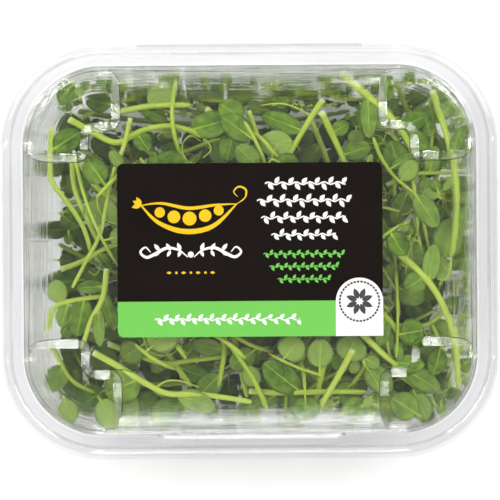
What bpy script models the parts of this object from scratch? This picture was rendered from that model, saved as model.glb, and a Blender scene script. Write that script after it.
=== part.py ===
"""Clear hinged tray of cut pea shoots: tub, lid, printed label and the shoots, in metres, +Z up, back at +Y."""

import math
import random

import bmesh
import bpy
import numpy as np
from mathutils import Vector

MM = 0.001
SEED = 11
SHEET = 0.5 * MM  # wall of the formed plastic
GAP = 0.3 * MM  # air between pieces that touch

# Flange, seen from above
TUB_HALF_X = 93.5 * MM
LID_HALF_X = 93.2 * MM
LID_HALF_Y = 77.3 * MM
RIM_RADIUS = 37.7 * MM
FRONT_LEDGE = 1.4 * MM  # the tub's flange shows this far past the lid's at the front
FOOT_INSET = 7.6 * MM  # from the lid's outer edge to the foot of its wall
CORNER_STEPS = 9

# Heights
FOOT_HEIGHT = 4.0 * MM
TUB_HEIGHT = 38.0 * MM
LID_BASE = TUB_HEIGHT + GAP + SHEET  # top of the lid's flange
PANEL_RISE = 12.5 * MM
RECESS_RISE = 6.0 * MM

# Sections: inset from the wall's foot, height above the flange
LID_SECTION = [
    (0.0 * MM, 0.0 * MM),
    (1.9 * MM, 5.2 * MM),
    (3.0 * MM, 7.6 * MM),
    (4.9 * MM, 9.8 * MM),
    (8.2 * MM, 11.6 * MM),
    (13.4 * MM, PANEL_RISE),
]
# Rim of the lid: distance in from the outer edge, height above the flange
LID_RIM = [
    (0.5 * MM, 0.0 * MM),
    (1.0 * MM, 1.2 * MM),
    (2.0 * MM, 1.3 * MM),
    (3.1 * MM, 0.9 * MM),
    (3.8 * MM, 0.0 * MM),
]
BEAD_SIDE = 0.3 * MM  # how far the bead's inner skin lies in from its outer one, sideways
TUB_RIM = [(1.6 * MM, 0.0 * MM), (2.0 * MM, 0.9 * MM), (2.5 * MM, 0.9 * MM), (3.0 * MM, 0.0 * MM)]
# Tub wall: inset from the foot of the lid's wall, depth below the flange's top
TUB_SECTION = [
    (0.0 * MM, 0.0 * MM),
    (1.6 * MM, 8.0 * MM),
    (2.6 * MM, 8.7 * MM),
    (7.0 * MM, 29.0 * MM),
    (8.8 * MM, 32.6 * MM),
    (11.6 * MM, TUB_HEIGHT - FOOT_HEIGHT),
]

# Stair-stepped corners, half sizes from the middle of the tray
STEP_A = (49.6 * MM, 46.1 * MM)
STEP_B = (61.5 * MM, 34.5 * MM)
STEP_RADIUS = 3.0 * MM
RISER_IN = 1.9 * MM
RISER_OUT = 1.3 * MM
FOOT_CLEAR = 2.4 * MM  # the feet are this much smaller than the lowered corners that they stand in
FOOT_FLARE = 1.0 * MM
FOOT_INDENT = 3.4 * MM

# Small features of the lid
BULGE_HALF = 37.0 * MM
BULGE_OUT = 1.5 * MM
BULGE_RISE = 5.6 * MM
BULGE_DEPTH = 12.0 * MM
BULGE_RADIUS = 4.5 * MM
BULGE_LEAN = 3.0 * MM  # how far its top lies behind the wall's foot
BULGE_NARROW = 2.0 * MM
LUG_LENGTH = 21.0 * MM
LUG_DEPTH = 1.5 * MM
LUG_RISE = 0.5 * MM
LUG_TAPER = 0.94
LUG_STEPS = 8
LUG_EDGE = 3.5 * MM  # from the lid's outer edge to the straight side of a lug
LUG_X = 40.3 * MM
LUG_Y = -24.5 * MM
HINGE_HALF = 43.0 * MM
HINGE_OUT = 0.7 * MM
TO_MIDDLE = (FRONT_LEDGE - HINGE_OUT) / 2  # moves the finished pieces so that the whole is centred
LABEL_SIZE = (99.2 * MM, 65.0 * MM)
LABEL_THICK = 0.3 * MM
LABEL_RADIUS = 1.2 * MM

# Shoots
STEM_SIDES = 5
STEM_STEP = 11.0 * MM
FILLER_STEP = 15.0 * MM
BEND = 1.3 * MM  # how far one step of a route may rise or dip off the straight line
LEAF_THICK = 0.65 * MM
PETIOLE_RADIUS = 0.55 * MM
TENDRIL_RADIUS = 0.42 * MM
CELL = 0.5 * MM
PX = 0.377 * MM  # one picture step on the real tray
MIDDLE = (250.0, 249.7)
FILLERS = 10
FILLER_TOP = 18.0 * MM
FILLER_PARTS = 8
DEEPEST = 27.0 * MM  # depth under the lid of the first and of the last shoot that the picture shows
NEAREST = 2.6 * MM


def material(name, colour, roughness, alpha=1.0):
    mat = bpy.data.materials.new(name)
    mat.use_nodes = True
    shader = mat.node_tree.nodes["Principled BSDF"]
    shader.inputs["Base Color"].default_value = (*colour, 1.0)
    shader.inputs["Roughness"].default_value = roughness
    shader.inputs["Metallic"].default_value = 0.0
    shader.inputs["Alpha"].default_value = alpha
    return mat


def solid(name, verts, faces, mat=None):
    mesh = bpy.data.meshes.new(name)
    mesh.from_pydata([tuple(v) for v in verts], [], faces)
    obj = bpy.data.objects.new(name, mesh)
    bpy.context.scene.collection.objects.link(obj)
    bm = bmesh.new()
    bm.from_mesh(mesh)
    bmesh.ops.recalc_face_normals(bm, faces=bm.faces)
    bm.to_mesh(mesh)
    bm.free()
    if mat is not None:
        mesh.materials.append(mat)
    return obj


def ring(half_x, half_y, radius, z, centre=(0.0, 0.0)):
    """Rounded rectangle at height z, counter-clockwise."""
    points = []
    for sx, sy, start in ((1, 1, 0), (-1, 1, 90), (-1, -1, 180), (1, -1, 270)):
        for i in range(CORNER_STEPS + 1):
            a = math.radians(start + 90 * i / CORNER_STEPS)
            x = centre[0] + sx * (half_x - radius) + radius * math.cos(a)
            y = centre[1] + sy * (half_y - radius) + radius * math.sin(a)
            points.append((x, y, z))
    return points


def loft(name, loops):
    """Closed body through loops of equal length, with flat ends."""
    count = len(loops[0])
    verts = [p for loop in loops for p in loop]
    faces = [list(range(count))[::-1]]
    for k in range(len(loops) - 1):
        for i in range(count):
            j = (i + 1) % count
            faces.append([k * count + i, k * count + j, (k + 1) * count + j, (k + 1) * count + i])
    last = (len(loops) - 1) * count
    faces.append([last + i for i in range(count)])
    return solid(name, verts, faces)


def combine(target, tool, kind):
    mod = target.modifiers.new("cut", "BOOLEAN")
    mod.operation = kind
    mod.object = tool
    mod.solver = "EXACT"
    apply_modifiers(target)
    bpy.data.objects.remove(tool)


def apply_modifiers(obj):
    graph = bpy.context.evaluated_depsgraph_get()
    mesh = bpy.data.meshes.new_from_object(obj.evaluated_get(graph))
    obj.modifiers.clear()
    obj.data = mesh


def inner(section, thickness):
    """The section moved by the wall thickness toward the inside of the box."""
    moved = []
    for i, (s, z) in enumerate(section):
        before = section[max(i - 1, 0)]
        after = section[min(i + 1, len(section) - 1)]
        run = Vector((after[0] - before[0], after[1] - before[1])).normalized()
        if i == len(section) - 1:
            run = Vector((1.0, 0.0))
        moved.append((s + abs(run.y) * thickness, z - run.x * thickness))
    return moved


def stepped(grow, z, sx, sy, reach):
    """Footprint of one stair-stepped corner, grown toward the middle of the tray."""
    ax, ay = STEP_A[0] - grow, STEP_A[1] - grow
    bx, by = STEP_B[0] - grow, STEP_B[1] - grow
    out = STEP_RADIUS + grow
    into = STEP_RADIUS - grow
    points = [(reach, by)]
    points += arc((bx + out, by + out), out, 270, 180)
    points += arc((bx - into, ay - into), into, 0, 90)
    points += arc((ax + out, ay + out), out, 270, 180)
    points += [(ax, reach), (reach, reach)]
    loop = [(sx * x, sy * y, z) for x, y in points]
    return loop if sx * sy > 0 else loop[::-1]


def arc(centre, radius, start, end, steps=4):
    points = []
    for i in range(steps + 1):
        a = math.radians(start + (end - start) * i / steps)
        points.append((centre[0] + radius * math.cos(a), centre[1] + radius * math.sin(a)))
    return points


def corner_cutter(sx, sy, thickness):
    """Clears the lid above one lowered corner; thickness sets the inner skin's cutter off the outer one."""
    low = LID_BASE + RECESS_RISE - thickness
    rise = PANEL_RISE - RECESS_RISE
    slope = (RISER_IN + RISER_OUT) / rise
    over = 2 * MM  # the cutter reaches this far past the lid
    reach = LID_HALF_X + over
    side = thickness * (math.sqrt(1 + slope * slope) - slope) - RISER_IN
    foot = stepped(side, low, sx, sy, reach)
    head = stepped(side + slope * (rise + over), low + rise + over, sx, sy, reach)
    return loft("cutter", [foot, head])


def wall_half():
    return LID_HALF_X - FOOT_INSET, LID_HALF_Y - FOOT_INSET, RIM_RADIUS - FOOT_INSET


def dome(name, section, base, drop):
    hx, hy, r = wall_half()
    loops = [ring(hx - section[0][0], hy - section[0][0], r - section[0][0], base - drop)]
    loops += [ring(hx - s, hy - s, r - s, base + z) for s, z in section[1:]]
    return loft(name, loops)


def bulge(thickness):
    """Swelling along the foot of the lid's front wall; thickness sets the inner skin's body off the outer one."""
    hy = wall_half()[1]
    width = BULGE_HALF - thickness
    drop = 3 * MM if thickness else SHEET * 0.6
    loops = []
    for z, out, narrow in ((-drop, BULGE_OUT, 0.0), (0.0, BULGE_OUT, 0.0),
                           (BULGE_RISE - thickness, -BULGE_LEAN, BULGE_NARROW)):
        centre = (0.0, -(hy + out - thickness) + BULGE_DEPTH / 2)
        loops.append(ring(width - narrow, BULGE_DEPTH / 2, BULGE_RADIUS, LID_BASE + z, centre))
    return loft("bulge", loops)


def flange(name, top, rim, hollow, half_x, ledge):
    """Flat rim plate with its bead; the middle is cut out later. The edge may reach past the lid's at the front."""
    inset = FOOT_INSET + 5 * MM  # past the wall, so that the dome or tub joins it
    upper = [(inset, 0.0), *reversed(rim), (0.0, 0.0)]
    lower = [(0.0, -SHEET)]
    if hollow:
        lower.append((rim[0][0] + BEAD_SIDE, -SHEET))
        lower += [(s + BEAD_SIDE * (1 if s < 1.5 * MM else -1), z - SHEET) for s, z in rim[1:-1]]
        lower.append((rim[-1][0] - BEAD_SIDE, -SHEET))
    lower.append((inset, -SHEET))
    loops = []
    for s, z in upper + lower:
        if s == 0.0:
            loops.append(ring(half_x, LID_HALF_Y + ledge / 2, RIM_RADIUS, top + z, (0.0, -ledge / 2)))
        else:
            loops.append(ring(LID_HALF_X - s, LID_HALF_Y - s, RIM_RADIUS - s, top + z))
    return loft(name, loops[::-1])


def lug(x, y, angle):
    """Half-lens bump against the inner side of the bead; angle turns its inward side."""
    half = LUG_LENGTH / 2
    radius = (half * half + LUG_DEPTH * LUG_DEPTH) / (2 * LUG_DEPTH)
    spread = math.asin(half / radius)
    curve = []
    for i in range(LUG_STEPS + 1):
        a = -spread + 2 * spread * i / LUG_STEPS
        curve.append((radius * math.sin(a), radius * math.cos(a) - radius + LUG_DEPTH))
    back = -0.5 * MM
    outline = [(-half, back), *curve, (half, back)]
    turn = math.radians(angle)
    loops = []
    for z, shrink in ((-SHEET * 0.5, 1.0), (LUG_RISE, LUG_TAPER)):
        loop = []
        for u, v in outline:
            u, v = u * shrink, v * shrink
            loop.append((x + u * math.cos(turn) - v * math.sin(turn),
                         y + u * math.sin(turn) + v * math.cos(turn), LID_BASE + z))
        loops.append(loop)
    return loft("lug", loops)


def slab(x0, x1, y0, y1, z0, z1):
    loops = [[(x0, y0, z), (x1, y0, z), (x1, y1, z), (x0, y1, z)] for z in (z0, z1)]
    return loft("slab", loops)


def hinge_leaf(top):
    """Short flap at the back edge of a flange, thinner than the sheet; top is the flange's upper face."""
    skim = SHEET * 0.1
    return slab(-HINGE_HALF, HINGE_HALF, LID_HALF_Y - 1.0 * MM, LID_HALF_Y + HINGE_OUT, top - SHEET + skim, top - skim)


def make_lid(mat):
    lid = flange("lid", LID_BASE, LID_RIM, True, LID_HALF_X, 0.0)
    outer = dome("outer", LID_SECTION, LID_BASE, SHEET * 0.6)
    combine(outer, bulge(0.0), "UNION")
    hollow = dome("hollow", inner(LID_SECTION, SHEET), LID_BASE, 3 * MM)
    combine(hollow, bulge(SHEET), "UNION")
    for sx in (-1, 1):
        for sy in (-1, 1):
            combine(outer, corner_cutter(sx, sy, 0.0), "DIFFERENCE")
            combine(hollow, corner_cutter(sx, sy, SHEET), "DIFFERENCE")
    combine(lid, outer, "UNION")
    combine(lid, hollow, "DIFFERENCE")
    for x in (-LUG_X, LUG_X):
        combine(lid, lug(x, LID_HALF_Y - LUG_EDGE, 180), "UNION")
        combine(lid, lug(x, -(LID_HALF_Y - LUG_EDGE), 0), "UNION")
    combine(lid, lug(-(LID_HALF_X - LUG_EDGE), LUG_Y, 270), "UNION")
    combine(lid, lug(LID_HALF_X - LUG_EDGE, LUG_Y, 90), "UNION")
    combine(lid, hinge_leaf(LID_BASE), "UNION")
    return finish(lid, mat)


def tub_foot(sx, sy, skin):
    """One corner foot under the tub's floor; skin sets the inner body off the outer one."""
    hx, hy, r = wall_half()
    grow = -(FOOT_CLEAR + skin)
    head = FOOT_HEIGHT + 1.5 * MM + skin
    foot = loft("foot", [
        stepped(grow, skin, sx, sy, TUB_HALF_X),
        stepped(grow + FOOT_FLARE, head, sx, sy, TUB_HALF_X),
    ])
    base = TUB_SECTION[-2][0] + FOOT_INDENT + skin
    over = 1 * MM
    trim = loft("trim", [
        ring(hx - base, hy - base, r - base, -over),
        ring(hx - base + 1.5 * MM, hy - base + 1.5 * MM, r - base + 1.5 * MM, FOOT_HEIGHT + 4 * MM),
    ])
    combine(foot, trim, "INTERSECT")
    return foot


def make_tub(mat):
    tub = flange("tray", TUB_HEIGHT, TUB_RIM, False, TUB_HALF_X, FRONT_LEDGE)
    hx, hy, r = wall_half()
    skins = []
    for skin, first in ((0.0, SHEET * 0.4), (SHEET, -3 * MM)):
        loops = [ring(hx - skin, hy - skin, r - skin, TUB_HEIGHT - first)]
        for s, z in TUB_SECTION[1:]:
            floor_skin = skin if z > TUB_SECTION[3][1] else 0.0
            inset = s + skin
            loops.append(ring(hx - inset, hy - inset, r - inset, TUB_HEIGHT - z + floor_skin))
        body = loft("skin", loops[::-1])
        for sx in (-1, 1):
            for sy in (-1, 1):
                combine(body, tub_foot(sx, sy, skin), "UNION")
        skins.append(body)
    combine(tub, skins[0], "UNION")
    combine(tub, skins[1], "DIFFERENCE")
    combine(tub, hinge_leaf(TUB_HEIGHT), "UNION")
    return finish(tub, mat)


def make_label(mat):
    z0 = LID_BASE + PANEL_RISE + GAP
    loops = []
    for z in (z0, z0 + LABEL_THICK):
        loop = []
        for sx, sy, start in ((1, 1, 0), (-1, 1, 90), (-1, -1, 180), (1, -1, 270)):
            centre = (sx * (LABEL_SIZE[0] / 2 - LABEL_RADIUS), sy * (LABEL_SIZE[1] / 2 - LABEL_RADIUS))
            loop += [(x, y, z) for x, y in arc(centre, LABEL_RADIUS, start, start + 90, 3)]
        loops.append(loop)
    label = loft("label", loops)
    return finish(label, mat)


def finish(obj, mat):
    """Centres the piece with the whole, merges stray points, makes triangles and shades round surfaces smooth."""
    bm = bmesh.new()
    bm.from_mesh(obj.data)
    bmesh.ops.translate(bm, verts=bm.verts, vec=(0.0, TO_MIDDLE, 0.0))
    bmesh.ops.remove_doubles(bm, verts=bm.verts, dist=0.00001)
    bmesh.ops.dissolve_limit(bm, angle_limit=math.radians(0.3), verts=bm.verts, edges=bm.edges)
    bmesh.ops.triangulate(bm, faces=bm.faces)
    bmesh.ops.recalc_face_normals(bm, faces=bm.faces)
    bm.to_mesh(obj.data)
    bm.free()
    obj.data.materials.clear()
    obj.data.materials.append(mat)
    obj.data.polygons.foreach_set("use_smooth", [True] * len(obj.data.polygons))
    obj.data.set_sharp_from_angle(angle=math.radians(35))
    return obj


# Shoots lie in layers: each is laid over a height map of what is already there

# Stem route, stem width, leaves as (base, tip, width), tendrils as routes; all in picture steps, lowest first
TOP_SHOOTS = [
    ([(196, 96), (225, 99), (250, 96), (276, 94)], 5, [((228, 98), (256, 86), 24), ((205, 97), (186, 84), 15)], []),
    ([(296, 94), (325, 92), (350, 99), (374, 96)], 5, [((322, 92), (284, 87), 20), ((338, 95), (352, 80), 14)], []),
    ([(80, 116), (98, 107), (118, 99), (135, 96)], 5, [((112, 101), (84, 96), 22), ((130, 98), (148, 86), 16)], []),
    ([(164, 160), (179, 154), (191, 149), (203, 143), (225, 139), (250, 146)], 5.5,
     [((191, 149), (161, 146), 11), ((214, 141), (226, 164), 20)], []),
    ([(312, 120), (321, 141), (327, 156), (334, 176), (344, 196)], 6, [((322, 144), (303, 168), 18)], []),
    ([(398, 80), (404, 95), (409, 110), (416, 128), (420, 150)], 6.5, [((406, 103), (430, 88), 18)], []),
    ([(396, 327), (408, 329), (421, 328), (440, 320), (452, 300), (456, 276)], 6,
     [((441, 319), (463, 300), 18)], []),
    ([(150, 322), (158, 338), (167, 354), (179, 371), (190, 386)], 7,
     [((176, 366), (210, 380), 20), ((168, 356), (150, 372), 16)], []),
    ([(107, 343), (124, 349), (141, 357), (164, 363), (181, 363), (201, 358), (222, 357)], 6,
     [((150, 360), (160, 341), 20), ((182, 362), (196, 342), 22), ((141, 356), (124, 341), 14)], []),
    ([(222, 322), (223, 340), (223, 356), (219, 376), (216, 391)], 6.5,
     [((222, 350), (190, 343), 18), ((219, 374), (196, 398), 24)], []),
    ([(232, 322), (234, 340), (238, 362), (246, 397)], 6.5,
     [((236, 348), (259, 364), 22), ((239, 370), (258, 386), 18)], []),
    ([(60, 268), (80, 261), (94, 254), (108, 246), (128, 240)], 6, [((98, 252), (112, 269), 11)],
     [[(94, 254), (100, 262), (97, 272), (91, 276), (88, 270)]]),
    ([(46, 338), (54, 352), (62, 368), (74, 384), (92, 392)], 5.5, [((60, 364), (50, 392), 24)], []),
    ([(394, 250), (398, 272), (396, 296), (399, 318)], 4, [((397, 288), (424, 303), 24), ((396, 262), (384, 288), 14)],
     []),
    ([(405, 186), (417, 202), (422, 221), (428, 243), (432, 266)], 4,
     [((409, 192), (393, 226), 22), ((422, 221), (444, 208), 22)], [[(417, 202), (410, 214), (402, 216)]]),
    ([(387, 186), (401, 177), (421, 175), (442, 174), (464, 174)], 4.5,
     [((403, 176), (391, 141), 29), ((430, 174), (437, 147), 18)],
     [[(421, 175), (414, 184), (418, 194), (410, 198)]]),
    ([(327, 326), (327, 340), (326, 355), (321, 375), (315, 400)], 7, [((319, 384), (310, 366), 9)], []),
    ([(248, 391), (286, 393), (316, 392), (344, 392), (365, 393)], 6.5, [((300, 391), (262, 362), 30)], []),
    ([(434, 370), (451, 363), (463, 348), (466, 326)], 6, [((440, 367), (416, 378), 20)], []),
    ([(81, 162), (89, 176), (97, 186), (107, 194), (126, 203)], 7, [((88, 173), (98, 153), 13)], []),
    ([(72, 158), (73, 179), (78, 195), (83, 207), (89, 222), (98, 240)], 6,
     [((90, 224), (106, 197), 28), ((76, 186), (90, 199), 11)], []),
    ([(118, 111), (136, 108), (155, 105), (173, 104), (190, 105)], 7,
     [((150, 105), (172, 86), 26), ((141, 107), (168, 119), 15)], []),
    ([(249, 111), (254, 124), (258, 138), (264, 156), (266, 176)], 6.5,
     [((253, 121), (246, 136), 13), ((261, 149), (241, 160), 20)], []),
    ([(48, 330), (49, 316), (55, 305), (64, 301), (75, 299), (90, 296), (104, 295)], 6,
     [((84, 297), (76, 336), 26), ((60, 302), (55, 278), 20), ((68, 300), (60, 326), 18)], []),
    ([(107, 268), (105, 285), (101, 303), (92, 318), (84, 331), (82, 346)], 6.5,
     [((100, 306), (100, 346), 13), ((103, 292), (115, 330), 15), ((104, 285), (76, 287), 14)], []),
    ([(324, 100), (313, 117), (301, 135), (292, 150), (286, 166), (276, 186)], 6.5,
     [((303, 131), (262, 115), 21), ((294, 146), (258, 143), 28)], [[(313, 117), (296, 108), (280, 104), (262, 106)]]),
    ([(322, 113), (330, 129), (336, 143), (343, 158), (351, 180)], 7.5,
     [((342, 156), (372, 147), 20), ((332, 134), (350, 124), 16)], []),
    ([(207, 109), (220, 117), (234, 126), (248, 131), (262, 139), (278, 158)], 6,
     [((236, 128), (227, 162), 24), ((226, 121), (246, 108), 16)], [[(234, 126), (240, 134), (238, 146)]]),
    ([(370, 302), (384, 317), (395, 329), (409, 345)], 7, [((385, 318), (378, 348), 16)], []),
    ([(352, 325), (367, 340), (381, 354), (396, 366), (410, 374)], 7,
     [((404, 371), (439, 392), 22), ((392, 363), (424, 366), 18)], []),
    ([(352, 350), (347, 364), (335, 380), (324, 395), (316, 411)], 7.5, [((347, 366), (355, 336), 33)], []),
    ([(53, 126), (51, 150), (51, 168), (56, 187), (68, 201), (78, 216), (88, 234), (92, 252)], 6,
     [((54, 150), (82, 130), 24)], []),
    ([(70, 118), (86, 127), (100, 135), (112, 143), (127, 139), (137, 133), (151, 128), (168, 126), (185, 127),
      (198, 133)], 7, [((190, 129), (234, 119), 27), ((138, 133), (150, 150), 18)],
     [[(185, 127), (204, 138), (212, 150), (204, 158)]]),
    ([(132, 118), (129, 137), (121, 155), (115, 170), (110, 190), (107, 206), (106, 222), (99, 237), (90, 254),
      (82, 270), (73, 286)], 5, [((108, 200), (120, 226), 14)], []),
    ([(342, 76), (356, 88), (375, 101), (387, 114), (396, 124), (408, 141), (416, 158)], 8,
     [((368, 98), (370, 146), 22), ((399, 128), (430, 117), 20), ((404, 136), (429, 150), 22)], []),
    ([(433, 92), (439, 110), (446, 132), (451, 152), (454, 170), (456, 190), (455, 213), (454, 236), (450, 258)], 7,
     [((441, 117), (456, 103), 17), ((452, 158), (462, 128), 12), ((455, 240), (466, 207), 14),
      ((454, 176), (443, 193), 8)], [[(450, 258), (448, 274), (441, 284), (436, 280)]]),
    ([(384, 243), (393, 251), (407, 262), (421, 276), (430, 286), (438, 299), (445, 314), (451, 331), (453, 345),
      (456, 361), (459, 377), (457, 388)], 7.5, [((429, 283), (433, 245), 19), ((423, 278), (404, 290), 24)], []),
    ([(93, 351), (106, 358), (124, 369), (142, 380), (155, 387), (171, 393), (204, 393), (231, 398), (250, 401)], 7,
     [((138, 378), (104, 394), 36), ((176, 393), (215, 408), 22)], [[(155, 387), (168, 379), (184, 381), (198, 386)]]),
]


def place(point):
    return Vector(((point[0] - MIDDLE[0]) * PX, (MIDDLE[1] - point[1]) * PX))


class Pile:
    """Height map of what is already laid in the tub, and of the lid above it."""

    def __init__(self):
        hx, hy, r = wall_half()
        nx = int(2 * hx / CELL) + 8
        ny = int(2 * hy / CELL) + 8
        self.x = (np.arange(nx) - (nx - 1) / 2) * CELL
        self.y = (np.arange(ny) - (ny - 1) / 2) * CELL
        gx, gy = np.meshgrid(self.x, self.y)
        qx = np.abs(gx) - (hx - r)
        qy = np.abs(gy) - (hy - r)
        outside = np.hypot(np.maximum(qx, 0), np.maximum(qy, 0)) + np.minimum(np.maximum(qx, qy), 0)
        inset = r - outside
        tub = [(s + 1.6 * SHEET, TUB_HEIGHT - z + SHEET) for s, z in TUB_SECTION]
        self.low = np.interp(inset, [p[0] for p in tub], [p[1] for p in tub], left=1.0)
        lid = [(s + SHEET + GAP, LID_BASE + z - SHEET - GAP) for s, z in LID_SECTION]
        self.high = np.interp(inset, [p[0] for p in lid], [p[1] for p in lid], left=-1.0)
        edge = RISER_OUT + SHEET + 2 * GAP
        for ax, ay in (STEP_A, STEP_B):
            corner = (np.abs(gx) > ax - edge) & (np.abs(gy) > ay - edge)
            roof = LID_BASE + RECESS_RISE - SHEET - GAP
            self.high = np.where(corner, np.minimum(self.high, roof), self.high)
        self.nx = nx
        self.ny = ny
        self.bare = self.low.copy()

    def ground(self, point):
        """Height of the empty tub at a point."""
        i = int(round((point[0] - self.x[0]) / CELL))
        j = int(round((point[1] - self.y[0]) / CELL))
        return self.bare[j, i] if 0 <= i < self.nx and 0 <= j < self.ny else 1.0

    def ceiling(self, point):
        """Height of the lid's underside at a point."""
        i = int(round((point[0] - self.x[0]) / CELL))
        j = int(round((point[1] - self.y[0]) / CELL))
        return float(self.high[min(max(j, 0), self.ny - 1), min(max(i, 0), self.nx - 1)])

    def window(self, points, margin):
        xs = [p[0] for p in points]
        ys = [p[1] for p in points]
        i0 = max(int((min(xs) - margin - self.x[0]) / CELL), 0)
        i1 = min(int((max(xs) + margin - self.x[0]) / CELL) + 2, self.nx)
        j0 = max(int((min(ys) - margin - self.y[0]) / CELL), 0)
        j1 = min(int((max(ys) + margin - self.y[0]) / CELL) + 2, self.ny)
        gx, gy = np.meshgrid(self.x[i0:i1], self.y[j0:j1])
        return slice(j0, j1), slice(i0, i1), gx, gy

    def strip(self, a, b, width):
        """Cells within width of the line from a to b, and how far along it each is."""
        rows, cols, gx, gy = self.window((a, b), width)
        run = Vector((b[0] - a[0], b[1] - a[1]))
        length = max(run.length, 1e-9)
        t = ((gx - a[0]) * run.x + (gy - a[1]) * run.y) / (length * length)
        t = np.clip(t, 0.0, 1.0)
        away = np.hypot(gx - a[0] - t * run.x, gy - a[1] - t * run.y)
        return rows, cols, t, away < width


def spaced(points, step):
    """Smooth route through points, resampled at about the given step."""
    curve = []
    for i in range(len(points) - 1):
        p0 = points[max(i - 1, 0)]
        p1, p2 = points[i], points[i + 1]
        p3 = points[min(i + 2, len(points) - 1)]
        for k in range(12):
            t = k / 12
            curve.append(0.5 * ((2 * p1) + (p2 - p0) * t + (2 * p0 - 5 * p1 + 4 * p2 - p3) * t ** 2
                                + (3 * p1 - p0 - 3 * p2 + p3) * t ** 3))
    curve.append(points[-1])
    lengths = [0.0]
    for i in range(1, len(curve)):
        lengths.append(lengths[-1] + (curve[i] - curve[i - 1]).length)
    count = max(2, round(lengths[-1] / step))
    result = []
    j = 0
    for k in range(count + 1):
        want = lengths[-1] * k / count
        while j < len(curve) - 2 and lengths[j + 1] < want:
            j += 1
        share = (want - lengths[j]) / max(lengths[j + 1] - lengths[j], 1e-9)
        result.append(curve[j].lerp(curve[j + 1], min(max(share, 0.0), 1.0)))
    return result


def settle(pile, route, radius, wish, anchor=None):
    """Heights along a route that clear what lies below and stay under the lid."""
    z = list(wish)
    strips = []
    for a, b in zip(route, route[1:]):
        rows, cols, t, near = pile.strip(a, b, radius + GAP)
        strips.append((t[near], pile.low[rows, cols][near] + radius + GAP, pile.high[rows, cols][near] - radius))
    first = 1 if anchor is not None else 0
    for _ in range(60):
        for i in range(1, len(z) - 1):
            bend = z[i] - (z[i - 1] + z[i + 1]) / 2
            move = math.copysign(max(abs(bend) - BEND, 0.0), bend)
            z[i] -= move * 0.5
            z[i + 1] += move * 0.25
            if i - 1 >= first:
                z[i - 1] += move * 0.25
        for limit_side in (-1, 1):
            for i, (t, low, high) in enumerate(strips):
                here = z[i] * (1 - t) + z[i + 1] * t
                gap = low - here if limit_side > 0 else here - high
                if not len(gap):
                    continue
                worst = int(np.argmax(gap))
                if gap[worst] <= 0:
                    continue
                s = float(t[worst])
                share = float(gap[worst]) / ((1 - s) ** 2 + s ** 2)
                if i >= first:
                    z[i] += limit_side * share * (1 - s)
                z[i + 1] += limit_side * share * s
                if i < first:
                    z[i + 1] += limit_side * float(gap[worst]) * (1 - s)
    short = 0.0
    for i, (t, low, high) in enumerate(strips):
        here = z[i] * (1 - t) + z[i + 1] * t
        if len(here):
            short = max(short, float(np.max(low - here)), float(np.max(here - high)))
    return z, short


LEAF_STATIONS = [(0.0, 0.12), (0.2, 0.8), (0.5, 1.0), (0.8, 0.66), (1.0, 0.0)]


def leaf_width(s):
    return np.interp(s, [p[0] for p in LEAF_STATIONS], [p[1] for p in LEAF_STATIONS])


class Leaf:
    """A leaflet on its stalk: a straight run from the stem to the tip, folded along the middle."""

    def __init__(self, root, z, base, tip, width, rng):
        self.root = root
        self.z = z
        run = tip - root
        self.length = run.length
        self.along = run / self.length
        self.across = Vector((-self.along.y, self.along.x))
        self.stalk = min(max((base - root).length / self.length, 0.0), 0.5)
        self.half = width / 2
        self.fold = rng.uniform(0.05, 0.3)
        self.roll = rng.uniform(-0.35, 0.35)
        self.arch = rng.uniform(-0.16, 0.05) * self.length
        self.tilt = 0.0

    def blade(self, s):
        return np.clip((s - self.stalk) / (1 - self.stalk), 0.0, 1.0)

    def shape(self, s, w):
        """Height over the straight run; w is the signed distance from the middle line."""
        b = self.blade(s)
        return self.fold * abs(w) + self.roll * w * b + self.arch * (b * b - 0.2 * b)

    def cells(self, pile):
        tip = self.root + self.along * self.length
        rows, cols, gx, gy = pile.window((self.root, tip), self.half + GAP)
        dx, dy = gx - self.root.x, gy - self.root.y
        s = (dx * self.along.x + dy * self.along.y) / self.length
        w = dx * self.across.x + dy * self.across.y
        reach = GAP / self.length
        b = (s - self.stalk) / (1 - self.stalk)
        limit = np.where(b > 0, leaf_width(b) * self.half, 0.0)
        limit = np.maximum(limit, PETIOLE_RADIUS) + GAP
        inside = (s > -reach) & (s < 1 + reach) & (np.abs(w) < limit)
        return rows, cols, np.clip(s, 0, 1)[inside], w[inside], inside

    def clear(self, pile):
        """Sets the tilt that clears the pile and the lid; returns how far it falls short."""
        rows, cols, s, w, inside = self.cells(pile)
        thick = np.where(self.blade(s) > 0.05, LEAF_THICK / 2, PETIOLE_RADIUS)
        body = self.z + self.shape(s, w)
        run = np.maximum(s, 0.05) * self.length
        far = s > 0.12
        if not far.any():
            return 1.0
        low = (pile.low[rows, cols][inside] + GAP + thick - body) / run
        high = (pile.high[rows, cols][inside] - thick - body) / run
        least = float(np.max(low[far]))
        most = float(np.min(high[far]))
        self.tilt = min(max(self.tilt, least), most) if least <= most else least
        return max(least - most, abs(self.tilt) - 1.1, 0.0)

    def height(self, s, w):
        return self.z + self.shape(s, w) + self.tilt * s * self.length

    def point(self, s, w, lift=0.0):
        p = self.root + self.along * (s * self.length) + self.across * w
        return Vector((p.x, p.y, float(self.height(s, w)) + lift))

    def mark(self, pile, top):
        rows, cols, s, w, inside = self.cells(pile)
        patch = top[rows, cols]
        thick = np.where(self.blade(s) > 0.05, LEAF_THICK / 2, PETIOLE_RADIUS)
        patch[inside] = np.maximum(patch[inside], self.height(s, w) + thick)
        top[rows, cols] = patch


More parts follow.
